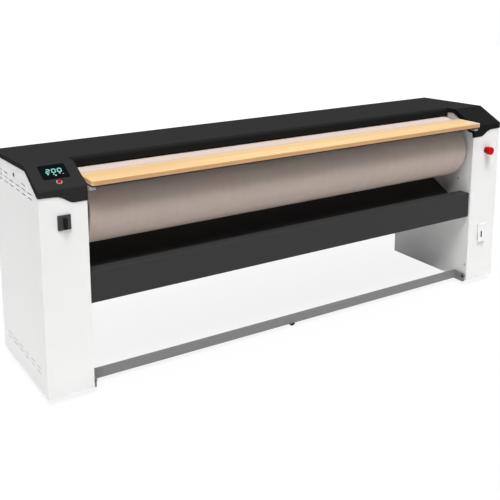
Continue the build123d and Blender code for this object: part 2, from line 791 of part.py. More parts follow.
spigot_z = fan_z + fan_r - spigot_r - fan_wall
spigot_x = x_fan + fan_t / 2
y_outlet = y_rear - fan_outlet_gap


def fan_housing():
    """Round case with a straight outlet to the rear, open at the inlet and the outlet."""
    def body(grow, x0, x1, rear):
        drum = rod_x(fan_r + grow, x0, x1, fan_y, fan_z)
        return drum + block(x0, x1, fan_y, rear, fan_z, fan_z + fan_r + grow)
    case = body(0, x_fan, x_fan + fan_t, y_outlet)
    case -= body(-fan_wall, x_fan + fan_wall, x_fan + fan_t - fan_wall, y_rear)
    case -= rod_x(fan_inlet_r, x_fan - 1, x_fan + fan_wall + 1, fan_y, fan_z)
    return case - rod_x(8, x_fan + fan_t - fan_wall - 1, x_fan + fan_t + 1, fan_y, fan_z)


def fan_impeller():
    """Drum wheel: a back disc, a front ring and blades between them, on a short shaft."""
    x0 = x_fan + fan_wall + 4
    x1 = x_fan + fan_t - fan_wall - 4
    wheel = rod_x(wheel_r, x1 - 3, x1, fan_y, fan_z)
    wheel += rod_x(wheel_r, x0, x0 + 3, fan_y, fan_z) - rod_x(wheel_r - 18, x0 - 1, x0 + 4, fan_y, fan_z)
    blade = Pos(wheel_r - 9, 0) * Rectangle(16, 2)
    blades = Sketch() + [Pos(fan_y, fan_z) * Rot(0, 0, 360 * k / wheel_blades) * blade for k in range(wheel_blades)]
    wheel += along_x(blades, x0 + 2, x1 - 2)
    return wheel + rod_x(14, x1 - 20, x1, fan_y, fan_z) + rod_x(6, x1, x_fan + fan_t + 24, fan_y, fan_z)


def fan_motor():
    x0 = x_fan + fan_t
    x1 = x_side - fan_motor_gap
    body = rod_x(fan_motor_r, x0, x1, fan_y, fan_z)
    body = fillet(body.edges().group_by(Axis.X)[-1], 6)
    return body - rod_x(6 + fit_gap, x0 - 1, x0 + 24.3, fan_y, fan_z)


def exhaust_spigot():
    """Outlet tube through the rear panel, for a hose, with a flange on the panel and an end plate on the fan."""
    tube = rod_y(spigot_r, spigot_x, y_outlet, y_high_extent, spigot_z)
    tube += rod_y(spigot_flange_r, spigot_x, depth, depth + sheet, spigot_z)
    tube -= rod_y(spigot_r - spigot_t, spigot_x, y_outlet + sheet, y_high_extent + 1, spigot_z)
    wide = fan_t / 2 - fan_wall
    high = spigot_r - 3 * fan_wall
    return tube - block(spigot_x - wide, spigot_x + wide, y_outlet - 1, depth, spigot_z - high, spigot_z + high)


# ---- feed board, its hinge blocks and brackets
def feed_board():
    """Board whose underside is bevelled along a tangent to the roll, with rounded front edges."""
    low_z = board_top_z - board_t
    edge_z = board_top_z - board_edge_t
    clear_r = roll_r + board_roll_gap
    rise = edge_z - roll_z
    rear_y = roll_y - sqrt(clear_r ** 2 - rise ** 2)
    fall = (roll_y - rear_y) / rise                    # slope of the tangent at the rear edge
    bevel_y = rear_y - (edge_z - low_z) / fall
    board = plate_yz([(board_front_y, low_z), (bevel_y, low_z), (rear_y, edge_z), (rear_y, board_top_z),
                      (board_front_y, board_top_z)], -board_x, board_x)
    board = fillet(board.edges().filter_by(Axis.Z).group_by(Axis.Y)[0], board_corner_r)
    low, high = (board.faces().filter_by(Axis.Z).sort_by(Axis.Z)[k] for k in (0, -1))
    front_y = board_front_y + board_corner_r + 1
    rims = [edge for face in (low, high) for edge in face.edges() if edge.center().Y < front_y]
    return fillet(rims, board_edge_r)


hinge_x1 = x_flange - bracket_t - 0.5
hinge_x0 = hinge_x1 - hinge_block_w


def board_hinge():
    y0, y1 = hinge_block_y
    hinge = block(hinge_x0, hinge_x1, y0, y1, hinge_low_z, board_top_z - board_t)
    hinge = fillet(hinge.edges().filter_by(Axis.X).group_by(Axis.Z)[0], 5)
    return hinge - rod_x(hinge_pin_r + fit_gap, hinge_x0 - 1, hinge_x1 + 1, hinge_y, hinge_z)


def board_bracket():
    """Arm that reaches forward from the column to the hinge, with a rubber pad under the board."""
    x0 = x_flange - bracket_t
    top = board_top_z - board_t - pad_h - soft_gap
    arm = block(x0, x_flange, hinge_block_y[0], bracket_rear_y, hinge_low_z, top)
    arm = fillet(arm.edges().filter_by(Axis.X).group_by(Axis.Y)[0], 5)
    arm -= rod_x(hinge_pin_r, x0 - 1, x_flange + 1, hinge_y, hinge_z)
    pad_rear = bracket_rear_y - pad_inset
    pad = block(x0, x_flange, pad_rear - pad_l, pad_rear, top, top + pad_h)
    return solids(arm, pad)


def pivot_pins():
    """Fixed pins of the chest, the foot bar and the feed board, right side."""
    chest = rod_x(chest_pin_r, chest_x - 4, x_frame + 6, chest_pivot_y, chest_pivot_z)
    chest += rod_x(chest_pin_r + 4, x_frame, x_frame + 6, chest_pivot_y, chest_pivot_z)
    bar_x0 = x_in - bar_side_gap - bar_t
    bar = rod_x(bar_pin_r, bar_x0 - 4, x_frame + 5, bar_pivot_y, bar_pivot_z)
    bar += rod_x(bar_pin_r + 3, bar_x0 - 4, bar_x0 - 0.5, bar_pivot_y, bar_pivot_z)
    bar += rod_x(bar_pin_r + 4, x_in - bar_side_gap + 0.5, x_in, bar_pivot_y, bar_pivot_z)
    board = rod_x(hinge_pin_r, hinge_x0 - 3, x_flange, hinge_y, hinge_z)
    return [chest, bar, board]


# ---- collecting tray and foot bar
def collecting_tray():
    """Folded sheet: a front face with a lip, and a plate that slopes up to the rear."""
    slope = atan2(tray_rear_z - tray_slope_z, tray_rear_y - tray_front_y)
    drop = tray_t / cos(slope)
    front = block(-x_in, x_in, tray_front_y, tray_front_y + tray_t, tray_low_z, tray_top_z)
    lip = block(-x_in, x_in, tray_front_y, tray_lip_y, tray_top_z - tray_t, tray_top_z)
    plate = plate_yz([(tray_front_y, tray_slope_z), (tray_rear_y, tray_rear_z), (tray_rear_y, tray_rear_z - drop),
                      (tray_front_y, tray_slope_z - drop)], -x_in, x_in)
    flange = plate_yz([(tray_front_y + 20, tray_slope_z + 20 * sin(slope) / cos(slope) - drop / 2),
                       (tray_rear_y, tray_rear_z - drop / 2), (tray_rear_y, tray_rear_z - tray_flange),
                       (tray_front_y + 20, tray_slope_z + 20 * sin(slope) / cos(slope) - tray_flange)],
                      x_in - tray_t, x_in)
    flange = screw_holes(flange)
    return front + lip + plate + flange + left(flange)


def screw_holes(shape):
    for y, z in screw_places():
        shape -= rod_x(screw_shank_r, x_in - tray_t - 1, x_frame + 1, y, z)
    return shape


def casing_screws():
    """Button-headed screws on the inner faces; the tray's are seated on its flange."""
    found = []
    for k, (y, z) in enumerate(screw_places()):
        seat = x_in if k < len(lone_screws) else x_in - tray_t
        head = rod_x(screw_r, seat - screw_head, seat, y, z)
        head = chamfer(head.edges().group_by(Axis.X)[0], 1.2)
        found.append(head + rod_x(screw_shank_r, seat, x_frame + 3, y, z))
    return found


def foot_bar():
    """Flat bar bent forward at both ends to its pivots."""
    x1 = x_in - bar_side_gap
    x0 = x1 - bar_t
    y1 = bar_y + bar_t / 2
    outer = Pos(0, (bar_front_y + y1) / 2) * Rectangle(2 * x1, y1 - bar_front_y)
    outer = fillet(outer.vertices().group_by(Axis.Y)[-1], bar_bend_r)
    inner = Pos(0, bar_front_y - 10 + (y1 - bar_t - bar_front_y + 10) / 2) * Rectangle(
        2 * x0, y1 - bar_t - bar_front_y + 10)
    inner = fillet(inner.vertices().group_by(Axis.Y)[-1], bar_bend_r - bar_t)
    bar = extrude(Plane.XY.offset(bar_low_z) * (outer - inner), bar_h)
    bar = fillet(bar.edges().filter_by(Axis.X).group_by(Axis.Y)[0], bar_end_r)
    for side in (1, -1):
        bar -= rod_x(bar_pin_r + fit_gap, side * (x0 - 1), side * (x1 + 1), bar_pivot_y, bar_pivot_z)
    return bar


def foot_bumper():
    """Rubber stop under the middle of the foot bar."""
    low = bar_low_z - bumper_h
    y0, y1 = bar_y - bumper_l / 2, bar_y + bumper_l / 2
    disc = rod_y(bumper_r, bumper_x, y0, y1, low + bumper_r)
    return disc & block(bumper_x - bumper_r, bumper_x + bumper_r, y0 - 1, y1 + 1, low - 1, bar_low_z)


def foot_switch():
    """Limit switch of the foot bar, inside the left column, with its plunger plate on the frame."""
    low = bar_low_z + foot_switch_up
    return block(-x_frame - foot_switch_w, -x_frame, bar_y - foot_switch_l / 2, bar_y + foot_switch_l / 2, low,
                 low + foot_switch_h)


# ---- display, start button, main switch, emergency stop
def display_glass():
    return extrude(on_slope(-x_mid, display_y) * RectangleRounded(display_w, display_l, 3), display_t)


def display_module():
    """Electronics box behind the glass, and its circuit board."""
    plane = on_slope(-x_mid, display_y)
    top = -cover_t * cos(radians(slope_deg))
    case = plane * Pos(0, 0, top - display_depth / 2) * Box(display_w - 18, display_l - 18, display_depth)
    board = plane * Pos(0, 0, top - display_depth - 0.8) * Box(display_w - 6, display_l - 6, 1.6)
    return solids(case, board)


def button_ring():
    plane = on_slope(-x_mid, button_y)
    ring = extrude(plane * Circle(button_ring_r), button_ring_h)
    ring = chamfer(ring.edges().filter_by(GeomType.CIRCLE).sort_by(Axis.Z)[-1], 1.2)
    ring += extrude(plane * Circle(button_hole_r - 0.5), -26)
    return ring - extrude(plane.offset(button_ring_h + 1) * Circle(button_r + fit_gap), -25)


def start_button():
    plane = on_slope(-x_mid, button_y)
    cap = extrude(plane.offset(button_ring_h + button_proud) * Circle(button_r), -16)
    return fillet(cap.edges().filter_by(GeomType.CIRCLE).sort_by(Axis.Z)[-1], 2)


def control_fascia():
    """Left cover with the holes for the start button and for the display's cables."""
    cover = left(fascia())
    cover -= extrude(on_slope(-x_mid, button_y).offset(5) * Circle(button_hole_r), -16)
    return cover


def switch_plate():
    plate = block(-x_mid - switch_w / 2, -x_mid + switch_w / 2, -switch_t, 0, switch_z - switch_h / 2,
                  switch_z + switch_h / 2)
    plate = fillet(plate.edges().filter_by(Axis.Y), 3)
    plate = chamfer(plate.faces().sort_by(Axis.Y)[0].edges(), 1.2)
    return plate - rod_y(switch_shaft_r + fit_gap, -x_mid, -switch_t - 1, 1, switch_z)


def switch_knob():
    """Lever grip on a disc, with the shaft that turns the switch."""
    front = -switch_t
    disc = rod_y(switch_w * 0.36, -x_mid, front - 4, front - 0.3, switch_z)
    grip = block(-x_mid - knob_w / 2, -x_mid + knob_w / 2, front - knob_h, front - 4, switch_z - knob_l / 2,
                 switch_z + knob_l / 2)
    grip = fillet(grip.edges().filter_by(Axis.Y), 4)
    return disc + grip + rod_y(switch_shaft_r, -x_mid, front - 4, sheet + 12, switch_z)


def switch_body():
    y1, z1 = sheet + switch_body_l, switch_z + switch_body_h / 2
    body = block(-x_mid - switch_body_w / 2, -x_mid + switch_body_w / 2, sheet, y1, switch_z - switch_body_h / 2, z1)
    w, l, h = switch_terminals
    for k in (-1, 0, 1):
        x = -x_mid + k * switch_terminal_pitch
        body += block(x - w / 2, x + w / 2, y1 - l - 8, y1 - 8, z1, z1 + h)
    return body - rod_y(switch_shaft_r + fit_gap, -x_mid, sheet - 1, sheet + 12.3, switch_z)


stop_x = x_mid + stop_x_offset


def estop_collar():
    collar = rod_y(stop_collar_r, stop_x, -stop_collar_t, 0, stop_z)
    collar += rod_y(stop_neck_r, stop_x, 0, sheet + stop_tail, stop_z)
    collar -= rod_y(stop_neck_r + soft_gap, stop_x, -stop_collar_t - 1, -stop_collar_t + stop_gap + 1.5, stop_z)
    return collar - rod_y(stop_shaft_r + fit_gap, stop_x, -stop_collar_t - 1, sheet + stop_tail + 1, stop_z)


def estop_button():
    y1 = -stop_collar_t - stop_gap
    head = rod_y(stop_r, stop_x, y1 - stop_head_t, y1, stop_z)
    head = fillet(head.edges().group_by(Axis.Y)[0], 3)
    head += rod_y(stop_neck_r, stop_x, y1, y1 + stop_gap + 0.5, stop_z)
    return head + rod_y(stop_shaft_r, stop_x, y1, sheet + 12, stop_z)


def estop_contacts():
    y0 = sheet + stop_tail
    body = block(stop_x - contacts_w / 2, stop_x + contacts_w / 2, y0, y0 + contacts_l, stop_z - contacts_h / 2,
                 stop_z + contacts_h / 2)
    return body - rod_y(stop_shaft_r + soft_gap, stop_x, y0 - 1, y0 + stop_gap + 10, stop_z)


# ---- hatch flap and its opening
hatch_x0 = hatch_x - hatch_w / 2
hatch_x1 = hatch_x + hatch_w / 2
hatch_axis_z = hatch_high_z - 4.0
hatch_axis_y = -hatch_pin_r - 1.5


def hatch_flap():
    """Flap that stands out further at its lower edge, with side walls near its pin and open sides below."""
    front = [(-hatch_top_out, hatch_high_z - 2), (-hatch_low_out, hatch_low_z), (-hatch_back_gap, hatch_low_z),
             (-hatch_back_gap, hatch_high_z - 2)]
    flap = plate_yz(front, hatch_x0, hatch_x1)
    t = hatch_t
    pocket = [(-hatch_top_out + t + 2.5, hatch_high_z - 10), (-hatch_low_out + t, hatch_low_z + t), (0, hatch_low_z + t),
              (0, hatch_high_z - 10)]
    flap -= plate_yz(pocket, hatch_x0 + t, hatch_x1 - t)
    rim_z = hatch_high_z - hatch_rim * (hatch_high_z - hatch_low_z)
    rise = (hatch_low_out - hatch_top_out) / (hatch_high_z - 2 - hatch_low_z)
    open_low = [(-hatch_low_out + t, hatch_low_z - 1), (0, hatch_low_z - 1), (0, rim_z),
                (-hatch_low_out + rise * (rim_z - hatch_low_z) + t, rim_z)]
    flap -= plate_yz(open_low, hatch_x0 - 1, hatch_x1 + 1)
    z0, z1 = hatch_slot_z
    flap -= block(hatch_x - hatch_slot_w / 2, hatch_x + hatch_slot_w / 2, -20, 0, z0, z1)
    return flap + rod_x(hatch_pin_r, hatch_x0 - 5, hatch_x1 + 5, hatch_axis_y, hatch_axis_z)


def right_front_panel():
    """Front panel with the hatch opening, two lugs for the flap's pin and the emergency stop's hole."""
    panel = front_panel()
    m = hatch_margin
    panel -= block(hatch_x0 + m, hatch_x1 - m, -1, sheet + 1, hatch_low_z + m, hatch_high_z - 12)
    panel -= rod_y(stop_neck_r, stop_x, -1, sheet + 1, stop_z)
    for x in (hatch_x0 - 4.5, hatch_x1 + 1.0):
        lug = block(x, x + 3.5, hatch_axis_y - 3.5, 0, hatch_axis_z - 4, hatch_axis_z + 4)
        panel += lug - rod_x(hatch_pin_r + fit_gap, x - 1, x + 5, hatch_axis_y, hatch_axis_z)
    return panel


def left_front_panel():
    return left(front_panel()) - rod_y(switch_shaft_r + fit_gap, -x_mid, -1, sheet + 1, switch_z)


# ---- side lock: slotted head outside, cam inside
def side_lock():
    x = -half
    lock = rod_x(lock_r, x - 1.5, x - 0.3, lock_y, lock_z) + rod_x(lock_r - 3, x - 0.3, x + 14, lock_y, lock_z)
    lock += block(x + 14, x + 17, lock_y - 8, lock_y + 8, lock_z - 30, lock_z + 8)
    w, h = lock_slot
    return lock - block(x - 2, x + 5, lock_y - w / 2, lock_y + w / 2, lock_z - h / 2 + 2, lock_z + h / 2 - 2)


def left_side_panel():
    return left(side_panel()) - rod_x(lock_r - 3 + fit_gap, -half - 1, -x_side + 1, lock_y, lock_z)


def device(size, y0, z0):
    """A box on the mounting plate, its size given as depth, width and height."""
    face = -x_side + plate_t
    return block(face, face + size[0], y0, y0 + size[1], z0, z0 + size[2])


def electrical_tray():
    """Mounting plate in the left column with contactors, a drive inverter and terminals."""
    y0, y1 = plate_y
    z0, z1 = plate_z
    upper_z = z1 - device_margin - contactor[2]
    found = [block(-x_side, -x_side + plate_t, y0, y1, z0, z1)]
    found += [device(contactor, y0 + device_margin + k * contactor_pitch, upper_z) for k in range(3)]
    found.append(device(inverter, y0 + device_margin, z0 + device_margin))
    first_y = y0 + 2 * device_margin + inverter[1]
    return found + [device(terminal, first_y + k * terminal_pitch, z0 + device_margin) for k in range(terminal_count)]


def cable_gland():
    """Screwed gland through the rear panel of the left column."""
    hexagon = Plane(origin=(-x_mid, depth, gland_z), x_dir=(1, 0, 0), z_dir=(0, 1, 0)) * RegularPolygon(gland_body_r + 4, 6)
    body = extrude(hexagon, 8)
    body += rod_y(gland_body_r, -x_mid, depth + 8, depth + gland_l - 12, gland_z)
    body += rod_y(gland_body_r - 4, -x_mid, y_rear - 12, depth, gland_z)
    return body - rod_y(gland_bore_r, -x_mid, y_rear - 13, depth + gland_l, gland_z)


def column_rears():
    """Rear panels of both columns, with the outlet's and the gland's holes."""
    right = column_rear() - rod_y(spigot_r + 0.2, spigot_x, y_rear - 1, depth + 1, spigot_z)
    other = left(column_rear()) - rod_y(gland_body_r - 4, -x_mid, y_rear - 1, depth + 1, gland_z)
    return [right, other]


# ---- write every node
os.makedirs("parts", exist_ok=True)

save("right_inner_frame", inner_frame())
save("left_inner_frame", left(inner_frame()))
save("right_front_panel", right_front_panel())
save("left_front_panel", left_front_panel())
save("right_side_panel", side_panel())
save("left_side_panel", left_side_panel())
save("column_rear_panels", *column_rears())
save("base_pans", base_pan(), left(base_pan()))
feet = [levelling_foot(y) for y in foot_ys()]
save("levelling_feet", *feet, *[left(foot) for foot in feet])
save("rear_cover", block(-x_in, x_in, y_rear, depth, tray_rear_z - 20, top_z(depth) - cover_t))
beam_heights = (tray_rear_z + beam_over_tray, top_rear_z - cover_t - beam_under_cover - beam_h)
save("cross_beams", *[cross_beam(y_rear - beam_w, z) for z in beam_heights])
save("top_cover", top_cover())
save("right_fascia", fascia())
save("left_fascia", control_fascia())

save("roll_tube", roll_tube())
save("roll_padding", roll_padding())
save("roll_journals", journal(x_duct + 6, True), left(journal(x_sprocket + sprocket_t + 8, False)))
save("roll_bearings", roll_bearing(), left(roll_bearing()))
save("roll_sprocket", left(sprocket(roll_teeth, journal_r + 0.1, roll_y, roll_z)))
save("drive_sprocket", left(drive_sprocket()))
save("drive_chain", left(drive_chain()))
save("drive_gearbox", left(drive_gearbox()))
save("drive_motor", left(drive_motor()))

save("chest_plate", ring_sector(r_chest, r_heater, chest_low_deg, chest_high_deg, -chest_x, chest_x))
save("chest_heaters", *heaters())
save("chest_insulation", ring_sector(r_insulation, r_cover - soft_gap, chest_low_deg, chest_high_deg, -chest_x, chest_x))
save("chest_cover", ring_sector(r_cover, r_cover + chest_cover_t, chest_low_deg, chest_high_deg, -chest_x, chest_x))
save("chest_arms", chest_arm(), left(chest_arm()))
save("press_shaft", press_shaft())
save("press_gearbox", press_gearbox())
save("press_motor", press_motor())
save("crank_spindle", crank_spindle())

save("suction_duct", suction_duct())
save("fan_housing", fan_housing())
save("fan_impeller", fan_impeller())
save("fan_motor", fan_motor())
save("exhaust_spigot", exhaust_spigot())

save("feed_board", feed_board())
save("board_hinges", board_hinge(), left(board_hinge()))
brackets = board_bracket()
save("board_brackets", *brackets, *[left(piece) for piece in brackets])
pins = pivot_pins()
save("pivot_pins", *pins, *[left(pin) for pin in pins])
save("collecting_tray", collecting_tray())
screws = casing_screws()
save("casing_screws", *screws, *[left(screw) for screw in screws])
save("foot_bar", foot_bar())
save("foot_bumper", foot_bumper())
save("foot_switch", foot_switch())

save("display_glass", display_glass())
save("display_module", *display_module())
save("button_ring", button_ring())
save("start_button", start_button())
save("switch_plate", switch_plate())
save("switch_knob", switch_knob())
save("switch_body", switch_body())
save("estop_collar", estop_collar())
save("estop_button", estop_button())
save("estop_contacts", estop_contacts())
save("hatch_flap", hatch_flap())
save("side_lock", side_lock())
save("electrical_tray", *electrical_tray())
save("cable_gland", cable_gland())
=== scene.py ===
import math

import bpy
import numpy as np
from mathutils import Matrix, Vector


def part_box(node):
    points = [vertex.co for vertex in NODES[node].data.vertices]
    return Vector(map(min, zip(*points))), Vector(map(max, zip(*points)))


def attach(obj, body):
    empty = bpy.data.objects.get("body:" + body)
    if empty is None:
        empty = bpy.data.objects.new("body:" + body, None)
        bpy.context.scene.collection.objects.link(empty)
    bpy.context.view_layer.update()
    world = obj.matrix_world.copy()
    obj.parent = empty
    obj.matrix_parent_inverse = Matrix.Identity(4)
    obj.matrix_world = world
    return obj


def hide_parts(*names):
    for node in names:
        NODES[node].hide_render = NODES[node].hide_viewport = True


bl_info = {
    "name": "Flatwork Ironer",
    "version": (1, 0, 0),
    "blender": (4, 5, 0),
    "location": "3D View > Sidebar > Ironer",
    "description": "Cloth, finishes, display and studio of a flatwork ironer",
    "category": "Object",
}

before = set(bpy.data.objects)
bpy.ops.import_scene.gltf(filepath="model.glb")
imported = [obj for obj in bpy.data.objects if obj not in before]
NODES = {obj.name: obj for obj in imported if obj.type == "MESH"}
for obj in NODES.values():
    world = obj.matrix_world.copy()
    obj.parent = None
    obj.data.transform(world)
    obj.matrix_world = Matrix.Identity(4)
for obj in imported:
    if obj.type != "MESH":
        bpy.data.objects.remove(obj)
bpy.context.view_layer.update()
MM = 0.001
X_AXIS = np.array([1.0, 0.0, 0.0])
WHITE = (1.0, 1.0, 1.0, 1.0)

# Where the roll lies, read from its padding: the middle of its axis, its radius and half its length.
ROLL_LOW, ROLL_HIGH = (np.array(corner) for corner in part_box("roll_padding"))
ROLL_MIDDLE = (ROLL_LOW + ROLL_HIGH) / 2
ROLL_RADIUS = (ROLL_HIGH[2] - ROLL_LOW[2]) / 2
ROLL_HALF = (ROLL_HIGH[0] - ROLL_LOW[0]) / 2
TUBE_LOW, TUBE_HIGH = (np.array(corner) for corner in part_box("roll_tube"))
TUBE_RADIUS = (TUBE_HIGH[2] - TUBE_LOW[2]) / 2

# The roll's cover: how far it stops short of the padding's ends, its gap to the tube, the rounding of its
# inner rim, its points along and round the roll, and the columns added near the free edge.
COVER_SHORT = 0.5 * MM
COVER_GAP = 0.4 * MM
INNER_ROUND = 2 * MM
COVER_ALONG, COVER_AROUND = 121, 264
LAP_COLUMNS = np.linspace(-2.5, 2.5, 9) * MM

# The cover's free edge is a step of this width, which sinks back over this much cloth. Puckers fade this
# far from the rim. Both, and the unevenness, grow over a part of the padding, measured from the tube.
LAP_STEP = 1.5 * MM
LAP_SINK = 60 * MM
PUCKER_FADE = 9 * MM
GROW_FROM = 3 * MM
GROW_OVER = 6 * MM

# Stitches: from the roll's end to the first, how far past the free edge the two rows lie, how deep their
# middles sit, half their length, width and height, and their circles and sides.
STITCH_INSET = 25 * MM
STITCH_ROWS = np.array([3.0, 9.0]) * MM
STITCH_DEPTH = 0.35 * MM
STITCH_HALF = np.array([3.6, 0.55, 0.4]) * MM
STITCH_RINGS, STITCH_SIDES = 5, 6

# How far the switch's grip stands out of its disc, and how thick the stop button's bright cap is.
KNOB_GRIP = 13.5 * MM
STOP_CAP = 13 * MM

# The seven bars of a digit, each as the two ends of its middle line on a sheet one wide and two high, the
# bars that each digit from 0 to 9 lights, the gap at a bar's ends, and a digit's lean as a share of its
# height.
BAR_ENDS = {
    "a": ((0, 2), (1, 2)),
    "b": ((1, 2), (1, 1)),
    "c": ((1, 1), (1, 0)),
    "d": ((0, 0), (1, 0)),
    "e": ((0, 1), (0, 0)),
    "f": ((0, 2), (0, 1)),
    "g": ((0, 1), (1, 1)),
}
DIGIT_BARS = ("abcdef", "bc", "abged", "abgcd", "fgbc", "afgcd", "afgedc", "abc", "abcdefg", "abcdfg")
BAR_GAP = 0.35 * MM
DIGIT_LEAN = 0.12

# Round lamps under the digits: how far right and up of the window's middle each lies, and its radius.
LAMPS = np.array([[-28, -15, 3.2], [-5, -17, 3.0], [1, -25, 3.6], [21, -15, 3.0], [33, -21, 1.9]]) * MM
LAMP_CORNERS = 14

# How far the lit marks stand off the glass, and how thick they are.
MARK_LIFT = 0.05 * MM
FIGURE_THICK = 0.25 * MM
LAMP_THICK = 0.2 * MM

# The camera: its place, how many degrees it looks down and to the right, and its shift.
CAMERA_PLACE = (-2.2925, -3.3499, 1.7861)
CAMERA_DOWN = 11.721
CAMERA_RIGHT = 32.695
CAMERA_SHIFT = -0.235

# The lights: how many degrees wide each looks, the way towards it, and how far off its holder stands.
KEY_WIDTH, KEY_WAY = 26, (-0.22, -0.40, 0.89)
TOP_WIDTH, TOP_WAY = 50, (0.03, -0.03, 1.0)
LIGHT_AWAY = 8

# The floor: its rings of points and the points in each, and from where to where it fades into the surround.
FLOOR_RINGS, FLOOR_SIDES = 24, 72
FLOOR_FADE = (2.0, 5.5)

# Most values of a noise texture lie between these two.
SPAN = (0.3, 0.7)


# ---- colours and nodes


def linear(code):
    """A colour written as sRGB hex, as the linear red, green, blue and alpha that a shader takes."""
    value = np.array([int(code[k : k + 2], 16) for k in (1, 3, 5)]) / 255
    value = np.where(value <= 0.04045, value / 12.92, ((value + 0.055) / 1.055) ** 2.4)
    return (*value.tolist(), 1.0)


def times(colour, factor):
    """The same colour, lighter or darker by a factor."""
    return (*(min(1.0, channel * factor) for channel in colour[:3]), 1.0)


def per_metre(millimetres):
    """The texture scale at which one mark of a pattern is this wide."""
    return 1000 / millimetres


def wave_scale(millimetres):
    """The wave texture's scale at which its bands lie this far apart. It makes one band in a tenth of pi."""
    return 0.1 * math.pi * per_metre(millimetres)


def add(tree, kind, inputs=(), **settings):
    """Adds one shader node. settings are its own options. inputs is a list that fills the sockets in use
    in their order, or a dict that names them. Each is a value, an output, or a node whose first output in
    use feeds it."""
    made = tree.nodes.new("ShaderNode" + kind)
    for option, value in settings.items():
        setattr(made, option, value)
    if isinstance(inputs, dict):
        pairs = [(made.inputs[name], value) for name, value in inputs.items()]
    else:
        pairs = zip([socket for socket in made.inputs if socket.enabled], inputs)
    for socket, value in pairs:
        if isinstance(value, bpy.types.Node):
            value = next(output for output in value.outputs if output.enabled)
        if isinstance(value, bpy.types.NodeSocket):
            tree.links.new(value, socket)
        else:
            socket.default_value = value
    return made


def mottle(tree, place, width, dark, light, detail=2.0, roughness=0.5):
    """Soft patches this many millimetres wide: their noise, and a colour that it leads from dark to light."""
    noise = add(tree, "TexNoise", [place, per_metre(width), detail, roughness])
    return noise, add(tree, "Mix", [noise, dark, light], data_type="RGBA")


def lay_over(tree, under, over, value, start, end, most=1.0):
    """Lays one colour over another, from not at all at a value's start to most at its end."""
    share = add(tree, "MapRange", [value, start, end, 0.0, most], interpolation_type="SMOOTHSTEP")
    return add(tree, "Mix", [share, under, over], data_type="RGBA")


def new_finish(name, uv_map=None):
    """An empty material, its node tree, and places on the piece in metres, by its map if one is named."""
    material = bpy.data.materials.new(name)
    material.use_nodes = True
    tree = material.node_tree
    tree.nodes.clear()
    if uv_map:
        return material, tree, add(tree, "UVMap", uv_map=uv_map)
    return material, tree, add(tree, "TexCoord").outputs["Object"]


def close_finish(material, tree, colour, inputs, relief=None):
    """Ends a finish with its shader and its output. colour is what the plain 3D view shows. relief is the
    pattern that the surface rises by, how strongly it shows and its height in millimetres."""
    if relief:
        pattern, strength, height = relief
        rise = {"Strength": strength, "Distance": height * MM, "Height": pattern}
        inputs = {**inputs, "Normal": add(tree, "Bump", rise)}
    shader = add(tree, "BsdfPrincipled", inputs)
    shader.inputs["Base Color"].default_value = colour
    add(tree, "OutputMaterial", {"Surface": shader})
    material.diffuse_color = colour
    return material


def dress(material, *names):
    """Gives a finish to CAD nodes, in place of the plain colour that each came with."""
    for name in names:
        NODES[name].data.materials[0] = material


# ---- finishes


def powder_coat(name, colour, roughness, level, peel=5.0, peel_depth=0.06, soil=0.0, lip_darkening=None):
    """Polyester powder baked on sheet steel: an even colour and a satin gloss, which breaks up a little
    where the film runs in a fine orange peel. The real peel is about 2 mm wide and too fine to show here,
    so it is drawn wider, at peel millimetres. soil is how much dust from the floor lies on the lowest 100
    mm. The last argument holds where on Y the coat starts to turn darker and where it is fully darker,
    and how far that reaches on X."""
    material, tree, place = new_finish(name)
    film, coat = mottle(tree, place, 240, times(colour, 0.975), times(colour, 1.02), 3.0)
    fine = add(tree, "TexNoise", [place, per_metre(peel), 2.0])
    if soil:
        height = add(tree, "SeparateXYZ", [place]).outputs["Z"]
        low = add(tree, "MapRange", [height, 100 * MM, 30 * MM, 0.0, soil])
        patch = add(tree, "Math", [low, film], operation="MULTIPLY")
        coat = add(tree, "Mix", [patch, coat, times(colour, 0.72)], data_type="RGBA")
    # The coat turns darker towards the front, over the part of Y and X that the last argument holds.
    if lip_darkening:
        start, full, reach = lip_darkening
        at = add(tree, "SeparateXYZ", [place]).outputs
        aside = add(tree, "Math", [at["X"]], operation="ABSOLUTE")
        over = add(tree, "Math", [aside, reach], operation="LESS_THAN")
        front = add(tree, "MapRange", [at["Y"], start, full], interpolation_type="SMOOTHSTEP")
        lip_share = add(tree, "Math", [over, front], operation="MULTIPLY")
        coat = add(tree, "Mix", [lip_share, coat, times(colour, 0.6)], data_type="RGBA")
    gloss = add(tree, "MapRange", [film, *SPAN, roughness - 0.04, roughness + 0.05])
    inputs = {"Base Color": coat, "Roughness": gloss, "IOR": 1.5, "Specular IOR Level": level}
    return close_finish(material, tree, colour, inputs, (fine, peel_depth, 0.4))


def steel(name, colour, roughness, along, width, streak=0.12):
    """Bare steel that a tool has run over: metal with fine lines beside each other, which spread a highlight
    across them. Real tool marks are under 0.1 mm apart, so they are drawn as wide as the given millimetres.
    along is how much longer than wide a mark is on X, Y and Z, and streak is how much the gloss changes."""
    material, tree, place = new_finish(name)
    stretch = tuple(per_metre(width) / k for k in along)
    marks = add(tree, "TexNoise", [add(tree, "Mapping", {"Vector": place, "Scale": stretch}), 1.0, 3.0])
    _, tint = mottle(tree, place, 60, times(colour, 0.86), times(colour, 1.08))
    gloss = add(tree, "MapRange", [marks, *SPAN, roughness - streak / 2, roughness + streak / 2])
    inputs = {"Base Color": tint, "Metallic": 1.0, "Roughness": gloss}
    return close_finish(material, tree, colour, inputs, (marks, 0.15, 0.1))


